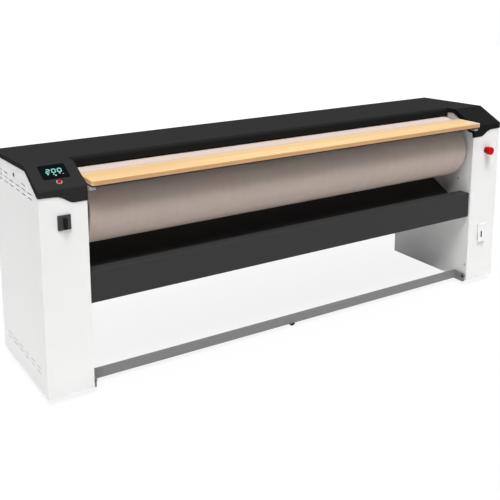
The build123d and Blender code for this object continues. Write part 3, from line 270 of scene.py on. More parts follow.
def galvanised_steel(name):
    """Hot-dip galvanised sheet: zinc that froze in flat crystals about 14 mm across, each of a slightly
    different grey and gloss, with a faint roughness all over."""
    material, tree, place = new_finish(name)
    crystals = add(tree, "TexVoronoi", {"Vector": place, "Scale": per_metre(14)})
    grey = add(tree, "SeparateColor", [crystals.outputs["Color"]]).outputs
    tint = add(tree, "Mix", [grey[0], linear("#9fa5a8"), linear("#c3c8ca")], data_type="RGBA")
    gloss = add(tree, "MapRange", [grey[1], 0.0, 1.0, 0.34, 0.5])
    rough = add(tree, "TexNoise", [place, per_metre(3), 2.0])
    inputs = {"Base Color": tint, "Metallic": 1.0, "Roughness": gloss}
    return close_finish(material, tree, linear("#b4babc"), inputs, (rough, 0.08, 0.1))


def moulded_plastic(name, colour, roughness, depth=0.15, level=0.5, skirt=None):
    """Plastic moulded in a steel tool: an even colour all through and the spark-eroded grain of the tool,
    which is under 1 mm and drawn at 1.2 mm. skirt is a second colour, for what lies behind a plane across
    Y, as on a knob that is moulded in two shots."""
    material, tree, place = new_finish(name)
    fine = add(tree, "TexNoise", [place, per_metre(1.2), 2.0])
    flow, tint = mottle(tree, place, 35, times(colour, 0.93), times(colour, 1.06))
    if skirt:
        second, plane = skirt
        behind = add(tree, "SeparateXYZ", [place]).outputs["Y"]
        back = add(tree, "Math", [behind, plane], operation="GREATER_THAN")
        tint = add(tree, "Mix", [back, tint, second], data_type="RGBA")
    gloss = add(tree, "MapRange", [flow, *SPAN, roughness - 0.03, roughness + 0.04])
    inputs = {"Base Color": tint, "Roughness": gloss, "IOR": 1.54, "Specular IOR Level": level}
    return close_finish(material, tree, colour, inputs, (fine, depth, 0.1))


def cast_metal(name, colour, roughness, metallic):
    """Metal cast in sand and left rough or painted over: pits and grains of about 1.5 mm, which break up its
    gloss and are drawn at 3 mm so that they show."""
    material, tree, place = new_finish(name)
    sand = add(tree, "TexNoise", [place, per_metre(3), 4.0, 0.6])
    _, tint = mottle(tree, place, 45, times(colour, 0.85), times(colour, 1.1))
    gloss = add(tree, "MapRange", [sand, *SPAN, roughness - 0.08, roughness + 0.08])
    inputs = {"Base Color": tint, "Metallic": metallic, "Roughness": gloss}
    return close_finish(material, tree, colour, inputs, (sand, 0.35, 0.3))


def rubber(name):
    """Natural rubber with carbon black, pressed in a mould: deep black, hardly any gloss, and a bloom of
    paler dust in patches of about 9 mm."""
    material, tree, place = new_finish(name)
    bloom, tint = mottle(tree, place, 9, linear("#121212"), linear("#2a2a29"), 4.0)
    inputs = {"Base Color": tint, "Roughness": 0.85, "IOR": 1.52, "Specular IOR Level": 0.3}
    return close_finish(material, tree, linear("#1c1c1c"), inputs, (bloom, 0.25, 0.2))


def mineral_wool(name):
    """Mineral wool: yellow glass fibres pressed to a mat, with tufts of about 8 mm and no gloss."""
    material, tree, place = new_finish(name)
    tufts, tint = mottle(tree, place, 8, linear("#a99455"), linear("#e8dba0"), 6.0, 0.7)
    inputs = {"Base Color": tint, "Roughness": 0.95, "Specular IOR Level": 0.1}
    return close_finish(material, tree, linear("#cdbd80"), inputs, (tufts, 0.8, 1.5))


def woven_cover(name, colour):
    """Cotton cover over needle felt, woven in plain weave and ironed flat: no gloss but a soft sheen at
    the rim, threads that cross at right angles, faint rings 34 mm wide where the padding is wound, and
    warmer patches where most linen runs. Its threads are about 1 mm apart and are drawn 4 mm apart, along
    the piece's own map, which runs in metres along and round the roll."""
    material, tree, cloth = new_finish(name, "cloth")
    threads = {"Vector": cloth, "Scale": wave_scale(4)}
    warp = add(tree, "TexWave", threads, bands_direction="X").outputs["Fac"]
    weft = add(tree, "TexWave", threads, bands_direction="Y").outputs["Fac"]
    weave = add(tree, "Math", [warp, weft], operation="MULTIPLY")
    wound = add(tree, "Mapping", {"Vector": cloth, "Scale": (per_metre(34), 1.3, 1.0)})
    rings = add(tree, "TexNoise", [wound, 1.0, 4.0, 0.6])
    tint = add(tree, "Mix", [rings, times(colour, 0.93), times(colour, 1.06)], data_type="RGBA")
    cloud = add(tree, "TexNoise", [cloth, per_metre(300), 3.0])
    warm = add(tree, "MapRange", [cloud, 0.4, 0.7, 0.0, 0.2])
    tint = add(tree, "Mix", [warm, tint, linear("#d8c4ae")], data_type="RGBA")
    groove = add(tree, "MapRange", [weave, 0.0, 1.0, 0.97, 1.0])
    shade = add(tree, "VectorMath", [tint, groove], operation="SCALE")
    inputs = {"Base Color": shade, "Roughness": 0.92, "Specular IOR Level": 0.08}
    inputs |= {"Sheen Weight": 0.08, "Sheen Roughness": 0.5}
    return close_finish(material, tree, colour, inputs, (weave, 0.12, 0.3))


def sewing_thread(name, colour):
    """Twisted polyester thread: a soft gloss and a darker groove at each turn, 1 mm long and drawn at 2
    mm."""
    material, tree, place = new_finish(name)
    turns = {"Vector": place, "Scale": wave_scale(2)}
    twist = add(tree, "TexWave", turns, bands_direction="DIAGONAL").outputs["Fac"]
    tint = add(tree, "Mix", [twist, times(colour, 0.7), colour], data_type="RGBA")
    return close_finish(material, tree, colour, {"Base Color": tint, "Roughness": 0.6, "Sheen Weight": 0.2})


def lacquered_beech(name, pale, warm, edge, low, high):
    """Beech plank under clear satin lacquer: pale yellow wood with long warmer growth bands and short
    darker flecks. Bands are about 18 mm wide and fade over 0.7 m, and flecks of 0.7 mm by 6 mm are drawn
    twice as large. low and high are the corners of the plank's box. The top is warmer towards the rear,
    and its last 42 mm turn greyer. The sides show two lamellae with an uneven glue line between them. The
    lowest 7 mm and the underside are painted near black, a painted shadow line under the front edge. The
    left end is painted paler, as painted light on a face that lies in shade, and paler still at its foot,
    and the last 24 mm at the right end turn pale."""
    material, tree, place = new_finish(name)
    at = add(tree, "SeparateXYZ", [place]).outputs
    facing = add(tree, "SeparateXYZ", [add(tree, "TexCoord").outputs["Normal"]]).outputs
    bands_size = (per_metre(700), per_metre(18), per_metre(18))
    bands_place = add(tree, "Mapping", {"Vector": place, "Scale": bands_size})
    look = {"Vector": bands_place, "Scale": 1.0, "Detail": 4.0, "Roughness": 0.55, "Distortion": 0.4}
    bands = add(tree, "TexNoise", look)
    flecks_size = (per_metre(12), per_metre(1.4), per_metre(1.4))
    flecks_place = add(tree, "Mapping", {"Vector": place, "Scale": flecks_size})
    flecks = add(tree, "TexNoise", [flecks_place, 1.0, 2.0])

    wood = lay_over(tree, warm, pale, bands, 0.32, 0.68)
    wood = lay_over(tree, wood, times(warm, 0.8), flecks, 0.62, 0.78, 0.35)
    wood = lay_over(tree, wood, warm, at["Y"], low[1] + 20 * MM, high[1] - 40 * MM, 0.4)
    # The last 42 mm of the top towards the rear turn greyer.
    wood = lay_over(tree, wood, linear("#c6b3a0"), at["Y"], high[1] - 42 * MM, high[1] + 4 * MM)

    drift = add(tree, "TexNoise", [place, per_metre(260), 5.0, 0.65])
    glue_line = add(tree, "Math", [drift, 14 * MM, low[2] + 8.5 * MM], operation="MULTIPLY_ADD")
    above = add(tree, "Math", [at["Z"], glue_line], operation="SUBTRACT")
    sides = lay_over(tree, linear("#c9a484"), edge, above, -0.8 * MM, 0.8 * MM)
    sides = lay_over(tree, sides, times(edge, 1.2), bands, 0.3, 0.7, 0.5)
    # The left end face lies in shade, so its colour is painted paler, as painted light.
    shaded_left_end = add(tree, "MapRange", [facing["X"], -0.5, -0.8], interpolation_type="SMOOTHSTEP")
    sides = add(tree, "Mix", [shaded_left_end, sides, times(edge, 1.6)], data_type="RGBA")

    colour = lay_over(tree, wood, sides, facing["Z"], 0.75, 0.35)
    # The last 24 mm at the right end turn pale.
    pale_band = linear("#d9cdc6")
    colour = lay_over(tree, colour, pale_band, at["X"], high[0] - 24 * MM, high[0] - 14 * MM, 0.7)
    foot = add(tree, "MapRange", [at["Z"], low[2] + 12 * MM, low[2] + 10 * MM])
    left_foot = add(tree, "Math", [shaded_left_end, foot], operation="MULTIPLY")
    colour = add(tree, "Mix", [left_foot, colour, linear("#e8d8cc")], data_type="RGBA")
    # The lowest 7 to 8 mm and the underside are painted near black: a painted shadow line along the board's
    # foot.
    colour = lay_over(tree, colour, linear("#1c0f07"), at["Z"], low[2] + 8 * MM, low[2] + 7 * MM)
    gloss = add(tree, "MapRange", [bands, *SPAN, 0.42, 0.5])
    inputs = {"Base Color": colour, "Roughness": gloss, "IOR": 1.5, "Specular IOR Level": 0.35}
    return close_finish(material, tree, pale, inputs, (flecks, 0.08, 0.2))


def scuffed_coat(name, colour):
    """Grey powder coat on the foot bar, rubbed by shoes that slide off it: faint oblique lines about 15 mm
    apart, a little paler and glossier than the coat, stronger in some places than in others."""
    material, tree, place = new_finish(name)
    turned = add(tree, "Mapping", {"Vector": place, "Rotation": (0.0, math.radians(38), 0.0)})
    look = {"Vector": turned, "Scale": wave_scale(15), "Distortion": 1.2, "Detail": 2.0, "Detail Scale": 0.4}
    lines = add(tree, "TexWave", look, bands_direction="X").outputs["Fac"]
    rubbed = add(tree, "TexNoise", [place, per_metre(120), 3.0])
    faint = add(tree, "Math", [lines, rubbed], operation="MULTIPLY")
    tint = add(tree, "Mix", [faint, times(colour, 0.98), times(colour, 1.09)], data_type="RGBA")
    gloss = add(tree, "MapRange", [faint, 0.0, 1.0, 0.5, 0.4])
    inputs = {"Base Color": tint, "Roughness": gloss, "IOR": 1.5, "Specular IOR Level": 0.25}
    return close_finish(material, tree, colour, inputs)


def printed_glass(name):
    """Float glass printed black on its back: a deep blue-black, and finger haze that dulls its gloss in
    places."""
    material, tree, place = new_finish(name)
    haze, tint = mottle(tree, place, 22, linear("#05080a"), linear("#0a0f10"), 3.0)
    gloss = add(tree, "MapRange", [haze, 0.35, 0.7, 0.16, 0.3])
    inputs = {"Base Color": tint, "Roughness": gloss, "IOR": 1.52, "Specular IOR Level": 0.01}
    return close_finish(material, tree, linear("#0d1417"), inputs)


def lit_segment(name, colour, strength):
    """Light-emitting diodes behind a printed window: an even glow, slightly patchy over a few millimetres."""
    material, tree, place = new_finish(name)
    _, light = mottle(tree, place, 4, times(colour, 0.85), times(colour, 1.1), 1.0)
    inputs = {"Roughness": 0.4, "Emission Color": light, "Emission Strength": strength}
    return close_finish(material, tree, linear("#101414"), inputs)


def seen_directly(tree):
    """One for what the camera, a reflection or a glass looks at, and nothing for the light it throws."""
    ray = add(tree, "LightPath").outputs
    seen = add(tree, "Math", [ray["Is Camera Ray"], ray["Is Glossy Ray"]], operation="MAXIMUM")
    return add(tree, "Math", [seen, ray["Is Transmission Ray"]], operation="MAXIMUM")


def studio_floor(name, colour, glow):
    """Matt painted studio floor with a roller's faint unevenness. As a source of light it is plain white
    paint. Looked at, it is part paint and part even glow, so that its shadows stay pale, and far from the
    middle the glow grows until the floor meets the surround in white."""
    material, tree, place = new_finish(name)
    _, tint = mottle(tree, place, 900, times(colour, 0.98), colour)
    paint = add(tree, "BsdfDiffuse", {"Color": tint, "Roughness": 0.9})
    seen = add(tree, "BsdfDiffuse", {"Color": times(colour, 0.9 * (1 - glow)), "Roughness": 0.9})
    away = add(tree, "VectorMath", [place], operation="LENGTH")
    rise = add(tree, "MapRange", [away, *FLOOR_FADE, glow, 1.0], interpolation_type="SMOOTHSTEP")
    light = add(tree, "Emission", {"Color": WHITE, "Strength": rise})
    lit = add(tree, "AddShader", [seen, light])
    both = add(tree, "MixShader", [seen_directly(tree), paint, lit])
    add(tree, "OutputMaterial", {"Surface": both})
    material.diffuse_color = colour
    return material


# ---- meshes


def read_all(items, field, width):
    """One field of all faces or points of a mesh, as an array with a row for each."""
    values = np.empty(len(items) * width, np.float32)
    items.foreach_get(field, values)
    return values.reshape(-1, width).astype(float)


def put_mesh(name, points, groups, material, uv=None, smooth=True):
    """Makes an object of an array of points and a list of arrays of faces, at the origin, with one finish."""
    rows = [row for group in groups for row in group.tolist()]
    mesh = bpy.data.meshes.new(name)
    mesh.from_pydata(points.reshape(-1, 3).tolist(), [], rows)
    mesh.polygons.foreach_set("use_smooth", np.full(len(rows), smooth))
    if uv is not None:
        layer = mesh.uv_layers.new(name="cloth")
        layer.data.foreach_set("uv", uv.astype(np.float32).ravel())
    mesh.materials.append(material)
    mesh.update()
    made = bpy.data.objects.new(name, mesh)
    bpy.context.scene.collection.objects.link(made)
    return made


def ring_faces(rows, columns):
    """Four-sided faces between neighbours of a grid of points that closes on itself both ways, as a
    profile does that is carried round an axis. Also gives each corner's row and column, counted on past
    the seam."""
    i, j = np.meshgrid(np.arange(rows), np.arange(columns), indexing="ij")
    row = np.stack([i, i, i + 1, i + 1], -1).reshape(-1, 4)
    column = np.stack([j, j + 1, j + 1, j], -1).reshape(-1, 4)
    return (row % rows) * columns + column % columns, row, column


def sleeve_profile(half, outer, inner, round_outer, round_inner, steps):
    """The cover cut through the roll's axis, as distance along it and radius: out along the roll, round
    the far end on a quarter circle, back along the tube, and round the near end. Points stand closer
    together towards the ends, by the sine of an even count, and the inside has a quarter as many."""
    run = np.sin(np.linspace(-np.pi / 2, np.pi / 2, steps))
    turn = np.linspace(0, np.pi / 2, 7)[1:]
    x_out, x_in = half - round_outer, half - round_inner
    upper = np.stack([run * x_out, np.full(steps, outer)], 1)
    corner = np.stack([x_out + round_outer * np.sin(turn), outer - round_outer * (1 - np.cos(turn))], 1)
    tuck = np.stack([x_in + round_inner * np.cos(turn), inner + round_inner * (1 - np.sin(turn))], 1)
    face = np.linspace(corner[-1, 1], inner + round_inner, 5)[1:]
    end = np.stack([np.full(len(face), half), face], 1)
    sparse = run[::4]
    lower = np.stack([-sparse * x_in, np.full(len(sparse), inner)], 1)[1:-1]
    mirror = np.array([-1.0, 1.0])
    back = np.concatenate([tuck[::-1] * mirror, end[::-1] * mirror, corner[::-1] * mirror])
    near = np.array([[-x_in, inner]])
    return np.concatenate([upper, corner, end, tuck, lower, near, back])


def cover_surface(roll):
    """Points, faces and map of the roll's cover: its profile carried round the roll's axis. Away from the
    tube its radius changes with the angle and the way along the roll. Two products of slow sines, which
    together reach 1.6, make the padding uneven. The free edge rises in one step at its angle and sinks
    back by e to the power of minus the cloth past it. Near each end the cloth is drawn in by raised
    cosines of the angle, which fade by e to the power of minus the way from the rim."""
    rest = ROLL_RADIUS - roll.lap - roll.unevenness
    bore = TUBE_RADIUS + COVER_GAP
    profile = sleeve_profile(ROLL_HALF - COVER_SHORT, rest, bore, roll.end_round, INNER_ROUND, COVER_ALONG)
    even = np.linspace(0, 2 * np.pi, COVER_AROUND, endpoint=False)
    close = roll.lap_angle + LAP_COLUMNS / ROLL_RADIUS
    angle = np.unique(np.round(np.concatenate([even, close % (2 * np.pi)]), 6))
    x, radius = profile[:, :1], profile[:, 1:]
    theta = angle[None, :]
    wave = np.sin(2 * theta + 3.1 * x) * np.sin(7.3 * x + 1.0)
    wave = wave + 0.6 * np.sin(5 * theta - 4.3 * x) * np.sin(11 * x)
    past = ((theta - roll.lap_angle) % (2 * np.pi)) * ROLL_RADIUS
    before = ((roll.lap_angle - theta) % (2 * np.pi)) * ROLL_RADIUS
    free_edge = roll.lap * np.where(before < LAP_STEP, 1 - before / LAP_STEP, np.exp(-past / LAP_SINK))
    rim = np.exp(-(ROLL_HALF - np.abs(x)) / PUCKER_FADE)
    fold = roll.pucker_depth * rim * (0.5 + 0.5 * np.cos(roll.puckers * theta + 2 * np.sin(3 * theta)))
    outside = np.clip((radius - TUBE_RADIUS - GROW_FROM) / GROW_OVER, 0, 1)
    reach = radius + outside * (roll.unevenness * wave / 1.6 + free_edge * (1 - rim) - fold)
    ways = [np.broadcast_to(x, reach.shape), reach * np.cos(theta), reach * np.sin(theta)]
    faces, row, column = ring_faces(*reach.shape)
    step = np.linalg.norm(np.diff(np.concatenate([profile, profile[:1]]), axis=0), axis=1)
    along = np.concatenate([[0], np.cumsum(step)])
    round_it = np.concatenate([angle, [angle[0] + 2 * np.pi]]) * ROLL_RADIUS
    return np.stack(ways, -1) + ROLL_MIDDLE, faces, np.stack([along[row], round_it[column]], -1)


def bead_shape(rings, sides):
    """A bead one half-length long and one wide: circles whose radius is the fourth root of one less the
    square of the way along, so its ends are blunt, closed by a point at each end."""
    along = np.sin(np.linspace(-np.pi / 2, np.pi / 2, rings + 2))[1:-1]
    turn = np.linspace(0, 2 * np.pi, sides, endpoint=False)
    wide = (1 - along**2) ** 0.25
    ways = [np.repeat(along, sides), *(np.outer(wide, of(turn)).ravel() for of in (np.cos, np.sin))]
    points = np.concatenate([np.stack(ways, 1), [[-1, 0, 0], [1, 0, 0]]])
    i, j = np.meshgrid(np.arange(rings - 1), np.arange(sides), indexing="ij")
    a, b = i * sides + j, i * sides + (j + 1) % sides
    c, d = a + sides, b + sides
    k = np.arange(sides)
    after = (k + 1) % sides
    last = (rings - 1) * sides
    first_cap = np.stack([np.full(sides, rings * sides), k, after], 1)
    last_cap = np.stack([np.full(sides, rings * sides + 1), last + after, last + k], 1)
    halves = [np.stack([b, d, a], -1).reshape(-1, 3), np.stack([d, c, a], -1).reshape(-1, 3)]
    return points, np.concatenate([*halves, first_cap, last_cap])


def stitch_surface(roll):
    """Points and faces of the stitches along the cover's free edge: beads at an even step along the roll,
    in two rows whose angle is the way past the edge over the roll's radius, each turned to lie flat on the
    cloth."""
    shape, shape_faces = bead_shape(STITCH_RINGS, STITCH_SIDES)
    x = np.arange(-ROLL_HALF + STITCH_INSET, ROLL_HALF - STITCH_INSET, roll.stitch_step)
    rows = STITCH_ROWS / ROLL_RADIUS + roll.lap_angle
    x, theta = (grid.ravel() for grid in np.meshgrid(x, rows, indexing="ij"))
    out = np.stack([np.zeros(len(theta)), np.cos(theta), np.sin(theta)], 1)
    across = np.cross(out, X_AXIS)
    middle = ROLL_MIDDLE + x[:, None] * X_AXIS + (ROLL_RADIUS - STITCH_DEPTH) * out
    long, wide, high = (shape[None, :, k : k + 1] * STITCH_HALF[k] for k in range(3))
    points = middle[:, None] + long * X_AXIS + wide * across[:, None] + high * out[:, None]
    faces = shape_faces[None] + (np.arange(len(x)) * len(shape))[:, None, None]
    return points, faces.reshape(-1, 3)


def tiles(outlines, ground, thickness):
    """Thin plates on a flat ground, which is its middle and the ways right, up and out. outlines holds one
    closed outline a plate, counter to the clock as seen from outside. Each corner goes right and up from
    the middle, once at the marks' lift and once a thickness above it, and faces close the front, the back
    and the sides."""
    middle, right, up, out = ground
    count, corners = outlines.shape[:2]
    flat = middle + outlines[..., :1] * right + outlines[..., 1:] * up + MARK_LIFT * out
    points = np.concatenate([flat, flat + thickness * out], 1)
    start = (np.arange(count) * corners * 2)[:, None]
    k = np.arange(corners)[None, :]
    front = start + corners + k
    back = start + k[:, ::-1]
    after = (k + 1) % corners
    sides = np.stack([start + k, start + after, start + corners + after, start + corners + k], -1)
    return points, [front, back, sides.reshape(-1, 4)]


def window_ground():
    """The middle of the display window's face, the ways right and up along it and the way out of it. The
    way out is the sum of the ways of the faces that look up, each counted by its area."""
    mesh = NODES["display_glass"].data
    area = read_all(mesh.polygons, "area", 1)
    normals = read_all(mesh.polygons, "normal", 3)
    out = (normals * area)[normals[:, 2] > 0.6].sum(0)
    out /= np.linalg.norm(out)
    points = read_all(mesh.vertices, "co", 3)
    height = points @ out
    face = points[height > height.max() - 0.01 * MM]
    return (face.min(0) + face.max(0)) / 2, X_AXIS, np.cross(out, X_AXIS), out


def digit_outlines(show):
    """Outlines of the lit bars of the reading, as ways right and up from the window's middle. A bar is a
    long hexagon: its points lie on its middle line, and its shoulders half a bar further in and half a bar
    to either side. All digits lean to the right by a share of their height."""
    lit = [(k, bar) for k, digit in enumerate(show.reading) for bar in DIGIT_BARS[int(digit)]]
    place = np.array([k for k, _ in lit], float)
    ends = np.array([BAR_ENDS[bar] for _, bar in lit], float)
    right = (place - (len(show.reading) - 1) / 2) * show.step - show.width / 2
    up = np.full(len(place), show.rise - show.height / 2 + show.bar / 2)
    ends = ends * np.array([show.width, (show.height - show.bar) / 2]) + np.stack([right, up], 1)[:, None]
    way = ends[:, 1] - ends[:, 0]
    way = way / np.linalg.norm(way, axis=1, keepdims=True)
    side = np.stack([-way[:, 1], way[:, 0]], 1)
    half = show.bar / 2
    # Each corner's end of the bar, its turn towards the other end, and its half bars in and to the side.
    end = np.array([0, 0, 1, 1, 1, 0])
    turn = np.array([1, 1, -1, -1, -1, 1])
    steps = np.array([[0, 0], [1, -1], [1, -1], [0, 0], [1, 1], [1, 1]], float)
    inward = turn[None, :, None] * (BAR_GAP + half * steps[None, :, :1])
    outline = ends[:, end] + inward * way[:, None] + half * steps[None, :, 1:] * side[:, None]
    return outline @ np.array([[1.0, 0.0], [DIGIT_LEAN, 1.0]])


def disc_surface(radius, rings, sides):
    """Points and faces of a flat disc: rings of points round its middle, closer together near it, by the
    square of an even count, and a point in the middle."""
    far = radius * np.linspace(0, 1, rings + 1)[1:] ** 2
    turn = np.linspace(0, 2 * np.pi, sides, endpoint=False)
    ways = [np.outer(far, np.cos(turn)), np.outer(far, np.sin(turn)), np.zeros((rings, sides))]
    points = np.concatenate([np.stack(ways, -1).reshape(-1, 3), [[0.0, 0.0, 0.0]]])
    i, j = np.meshgrid(np.arange(rings - 1), np.arange(sides), indexing="ij")
    after = (j + 1) % sides
    corners = [i * sides + j, (i + 1) * sides + j, (i + 1) * sides + after, i * sides + after]
    k = np.arange(sides)
    hub = np.stack([np.full(sides, rings * sides), k, (k + 1) % sides], 1)
    return points, [np.stack(corners, -1).reshape(-1, 4), hub]


# ---- settings


def colour_of(name, description, code):
    """A colour that the user may change. code is its default."""
    return bpy.props.FloatVectorProperty(
        name=name, description=description, default=linear(code), size=4, min=0, max=1, subtype="COLOR"
    )


def number_of(name, description, default, least, most, **options):
    """A number that the user may change, with its limits."""
    limits = {"min": least, "max": most}
    return bpy.props.FloatProperty(name=name, description=description, default=default, **limits, **options)


def size_of(name, description, *millimetres):
    """A size that the user may change, with its default and its limits in millimetres."""
    return number_of(name, description, *(size * MM for size in millimetres), unit="LENGTH", precision=5)


def light_of(name, description, default, most):
    """A level of light that the user may change."""
    return number_of(name, f"{description}, where 1 shows white paint as white", default, 0.0, most)


class IronerColours(bpy.types.PropertyGroup):
    """Colours of the ironer's main finishes"""

    casing: colour_of("Casing", "White coat of the columns", "#f8f8f7")
    covers: colour_of("Covers", "Charcoal coat of the top and the left control cover", "#2f2f2f")
    # A darker copy of the covers' coat, as painted shade on the right control cover.
    shaded_right_cover: colour_of("Right cover", "Charcoal coat of the right control cover, darkened as painted shade", "#212122")
    tray: colour_of("Tray", "Dark coat of the collecting tray", "#3a3a3a")
    foot_bar: colour_of("Foot bar", "Grey coat of the foot bar", "#888888")
    castings: colour_of("Board carriers", "Light grey paint of the hinge blocks and brackets", "#bdb9b2")
    cloth: colour_of("Roll cloth", "Cover of the ironing roll", "#ccbbb2")
    wood_pale: colour_of("Wood, pale", "Paler growth bands of the feed board", "#e2c38d")
    wood_warm: colour_of("Wood, warm", "Warmer growth bands of the feed board", "#d7ad78")
    wood_edge: colour_of("Wood, edge", "Edges of the feed board", "#c69a66")
    button: colour_of("Stop button", "Head of the emergency stop", "#cc000e")
    # The darker red is the start button's own colour, and painted shade on the neck of the emergency stop.
    dark_red_and_neck_shade: colour_of("Start button", "Start button, and the neck of the emergency stop as painted shade", "#9c060b")
    figures: colour_of("Figures", "Lit figures of the display", "#6ae8de")


class IronerRoll(bpy.types.PropertyGroup):
    """Sizes of the cover of the ironing roll"""

    unevenness: size_of("Unevenness", "How far the padding rises and falls under the cover", 0.1, 0.0, 1.0)
    lap: size_of("Lap", "Height of the cover's free edge where it laps over itself", 0.35, 0.0, 1.0)
    lap_angle: number_of(
        "Lap angle",
        "Where the free edge lies on the roll, from the rear upwards",
        *(math.radians(degrees) for degrees in (128, 0, 360)),
        subtype="ANGLE",
    )
    end_round: size_of("End rounding", "Radius of the padding's outer rim", 7.0, 1.0, 10.0)
    puckers: bpy.props.IntProperty(
        name="Puckers",
        description="Small folds round each end, where the cover is drawn in",
        default=44,
        min=0,
        max=120,
    )
    pucker_depth: size_of("Pucker depth", "Depth of the folds at the rim", 0.9, 0.0, 3.0)
    stitch_step: size_of("Stitch step", "From one stitch of the free edge to the next", 12.0, 2.0, 50.0)


class IronerDisplay(bpy.types.PropertyGroup):
    """Figures and marks of the display"""

    reading: bpy.props.StringProperty(
        name="Reading", description="Digits that the display shows", default="200"
    )
    height: size_of("Digit height", "Height of a digit", 26.0, 5.0, 40.0)
    width: size_of("Digit width", "Width of a digit between its bars' middle lines", 14.5, 3.0, 30.0)
    step: size_of("Digit step", "From one digit to the next", 24.0, 4.0, 40.0)
    bar: size_of("Bar width", "Width of one lit bar", 4.6, 0.5, 8.0)
    rise: size_of("Rise", "How far the digits stand above the window's middle", 4.0, -20.0, 20.0)


class IronerStudio(bpy.types.PropertyGroup):
    """Light, floor and camera of the studio"""

    surround: light_of("Surround", "Even light from all round", 0.1, 2.0)
    key: light_of("Key light", "Light from high at the front left", 0.85, 5.0)
    top: light_of("Top light", "Light from straight above", 0.5, 5.0)
    floor: colour_of("Floor", "Colour of the floor", "#f5f5f5")
    floor_glow: number_of("Floor glow", "How much brighter than its paint the floor looks", 0.88, 0.0, 1.0)
    floor_radius: number_of(
        "Floor radius", "From the middle of the floor to its rim", 14.0, 3.0, 50.0, unit="LENGTH"
    )
    lens: number_of("Lens", "Focal length on a 36 mm sensor", 60.347, 10.0, 300.0, unit="CAMERA")


# ---- operators


class IRONER_OT_white_casing(bpy.types.Operator):
    """Coats the columns, their inner frames, the rear sheets and the hatch white"""

    bl_idname = "ironer.white_casing"
    bl_label = "White casing"

    def execute(self, context):
        colour = context.scene.ironer_colours.casing
        coat = powder_coat("polyester powder coat, satin white", colour, 0.42, 0.3, soil=0.25)
        dress(coat, "left_front_panel", "right_front_panel", "left_side_panel", "right_side_panel")
        dress(coat, "left_inner_frame", "right_inner_frame", "hatch_flap")
        dress(coat, "column_rear_panels", "rear_cover")
        return {"FINISHED"}


class IRONER_OT_dark_covers(bpy.types.Operator):
    """Coats the top, the two control covers and the tray dark, and the foot bar grey"""

    bl_idname = "ironer.dark_covers"
    bl_label = "Covers, tray and foot bar"

    def execute(self, context):
        colours = context.scene.ironer_colours
        # A fine-textured coat: matter than the white one, and rough enough to hide finger marks. The right
        # control cover gets a darker copy of the coat, as painted shade, and the hood turns darker towards
        # its
        # front lip over the roll: from 40 mm behind the roll's axis to 7 mm behind it, and up to 20 mm past
        # the roll's ends.
        lip_darkening = (ROLL_MIDDLE[1] + 40 * MM, ROLL_MIDDLE[1] + 7 * MM, ROLL_HALF + 20 * MM)
        for name, colour, nodes in (
            ("polyester powder coat, fine texture charcoal", colours.covers, ("top_cover", "left_fascia")),
            ("polyester powder coat, fine texture dark charcoal", colours.shaded_right_cover, ("right_fascia",)),
        ):
            dress(powder_coat(name, colour, 0.62, 0.0, peel=2.5, peel_depth=0.25, lip_darkening=lip_darkening), *nodes)
        tray = powder_coat("polyester powder coat, satin dark grey", colours.tray, 0.5, 0.08)
        dress(tray, "collecting_tray")
        dress(scuffed_coat("polyester powder coat, satin mid grey", colours.foot_bar), "foot_bar")
        return {"FINISHED"}


class IRONER_OT_roll_cover(bpy.types.Operator):
    """Makes the padded cloth cover of the ironing roll, lapped along its length and drawn in at its ends"""

    bl_idname = "ironer.roll_cover"
    bl_label = "Roll cover"

    def execute(self, context):
        points, faces, uv = cover_surface(context.scene.ironer_roll)
        cloth = woven_cover("cotton cover over needle felt", context.scene.ironer_colours.cloth)
        cover = put_mesh("roll_cover", points, [faces], cloth, uv=uv)
        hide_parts("roll_padding")
        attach(cover, "roll")
        dress(cloth, "roll_padding")
        return {"FINISHED"}


class IRONER_OT_cover_stitches(bpy.types.Operator):
    """Sews down the free edge of the roll's cover with two rows of stitches"""

    bl_idname = "ironer.cover_stitches"
    bl_label = "Cover stitches"

    def execute(self, context):
        points, faces = stitch_surface(context.scene.ironer_roll)
        yarn = sewing_thread("twisted polyester thread", linear("#cdbfb2"))
        stitches = put_mesh("cover_stitches", points, [faces], yarn)
        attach(stitches, "roll")
        return {"FINISHED"}


class IRONER_OT_feed_board(bpy.types.Operator):
    """Finishes the wooden feed board and its grey hinge blocks and brackets"""

    bl_idname = "ironer.feed_board"
    bl_label = "Feed board"

    def execute(self, context):
        colours = context.scene.ironer_colours
        wood = (colours.wood_pale, colours.wood_warm, colours.wood_edge)
        plank = lacquered_beech("beech plank, clear satin lacquer", *wood, *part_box("feed_board"))
        dress(plank, "feed_board")
        paint = cast_metal("aluminium casting, light grey paint", colours.castings, 0.5, 0.0)
        dress(paint, "board_hinges", "board_brackets")
        return {"FINISHED"}


class IRONER_OT_display(bpy.types.Operator):
    """Finishes the display window and lights its figures and marks"""

    bl_idname = "ironer.display"
    bl_label = "Display"

    def execute(self, context):
        show = context.scene.ironer_display
        if not show.reading.isdigit():
            raise ValueError("the display shows digits only")
        ground = window_ground()
        dress(printed_glass("black printed glass"), "display_glass")
        bars = tiles(digit_outlines(show), ground, FIGURE_THICK)
        light = lit_segment("lit display segments", context.scene.ironer_colours.figures, 1.0)
        figures = put_mesh("display_figures", *bars, light, smooth=False)
        # Under the digits stands a row of small round lamps that tell the machine's state.
        turn = np.linspace(0, 2 * np.pi, LAMP_CORNERS, endpoint=False)
        circle = np.stack([np.cos(turn), np.sin(turn)], 1)
        discs = tiles(LAMPS[:, None, :2] + LAMPS[:, None, 2:] * circle[None], ground, LAMP_THICK)
        light = lit_segment("lit display lamps", linear("#e9dfe6"), 0.9)
        lamps = put_mesh("display_lamps", *discs, light, smooth=False)
        for piece in (figures, lamps):
            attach(piece, "base")
        return {"FINISHED"}


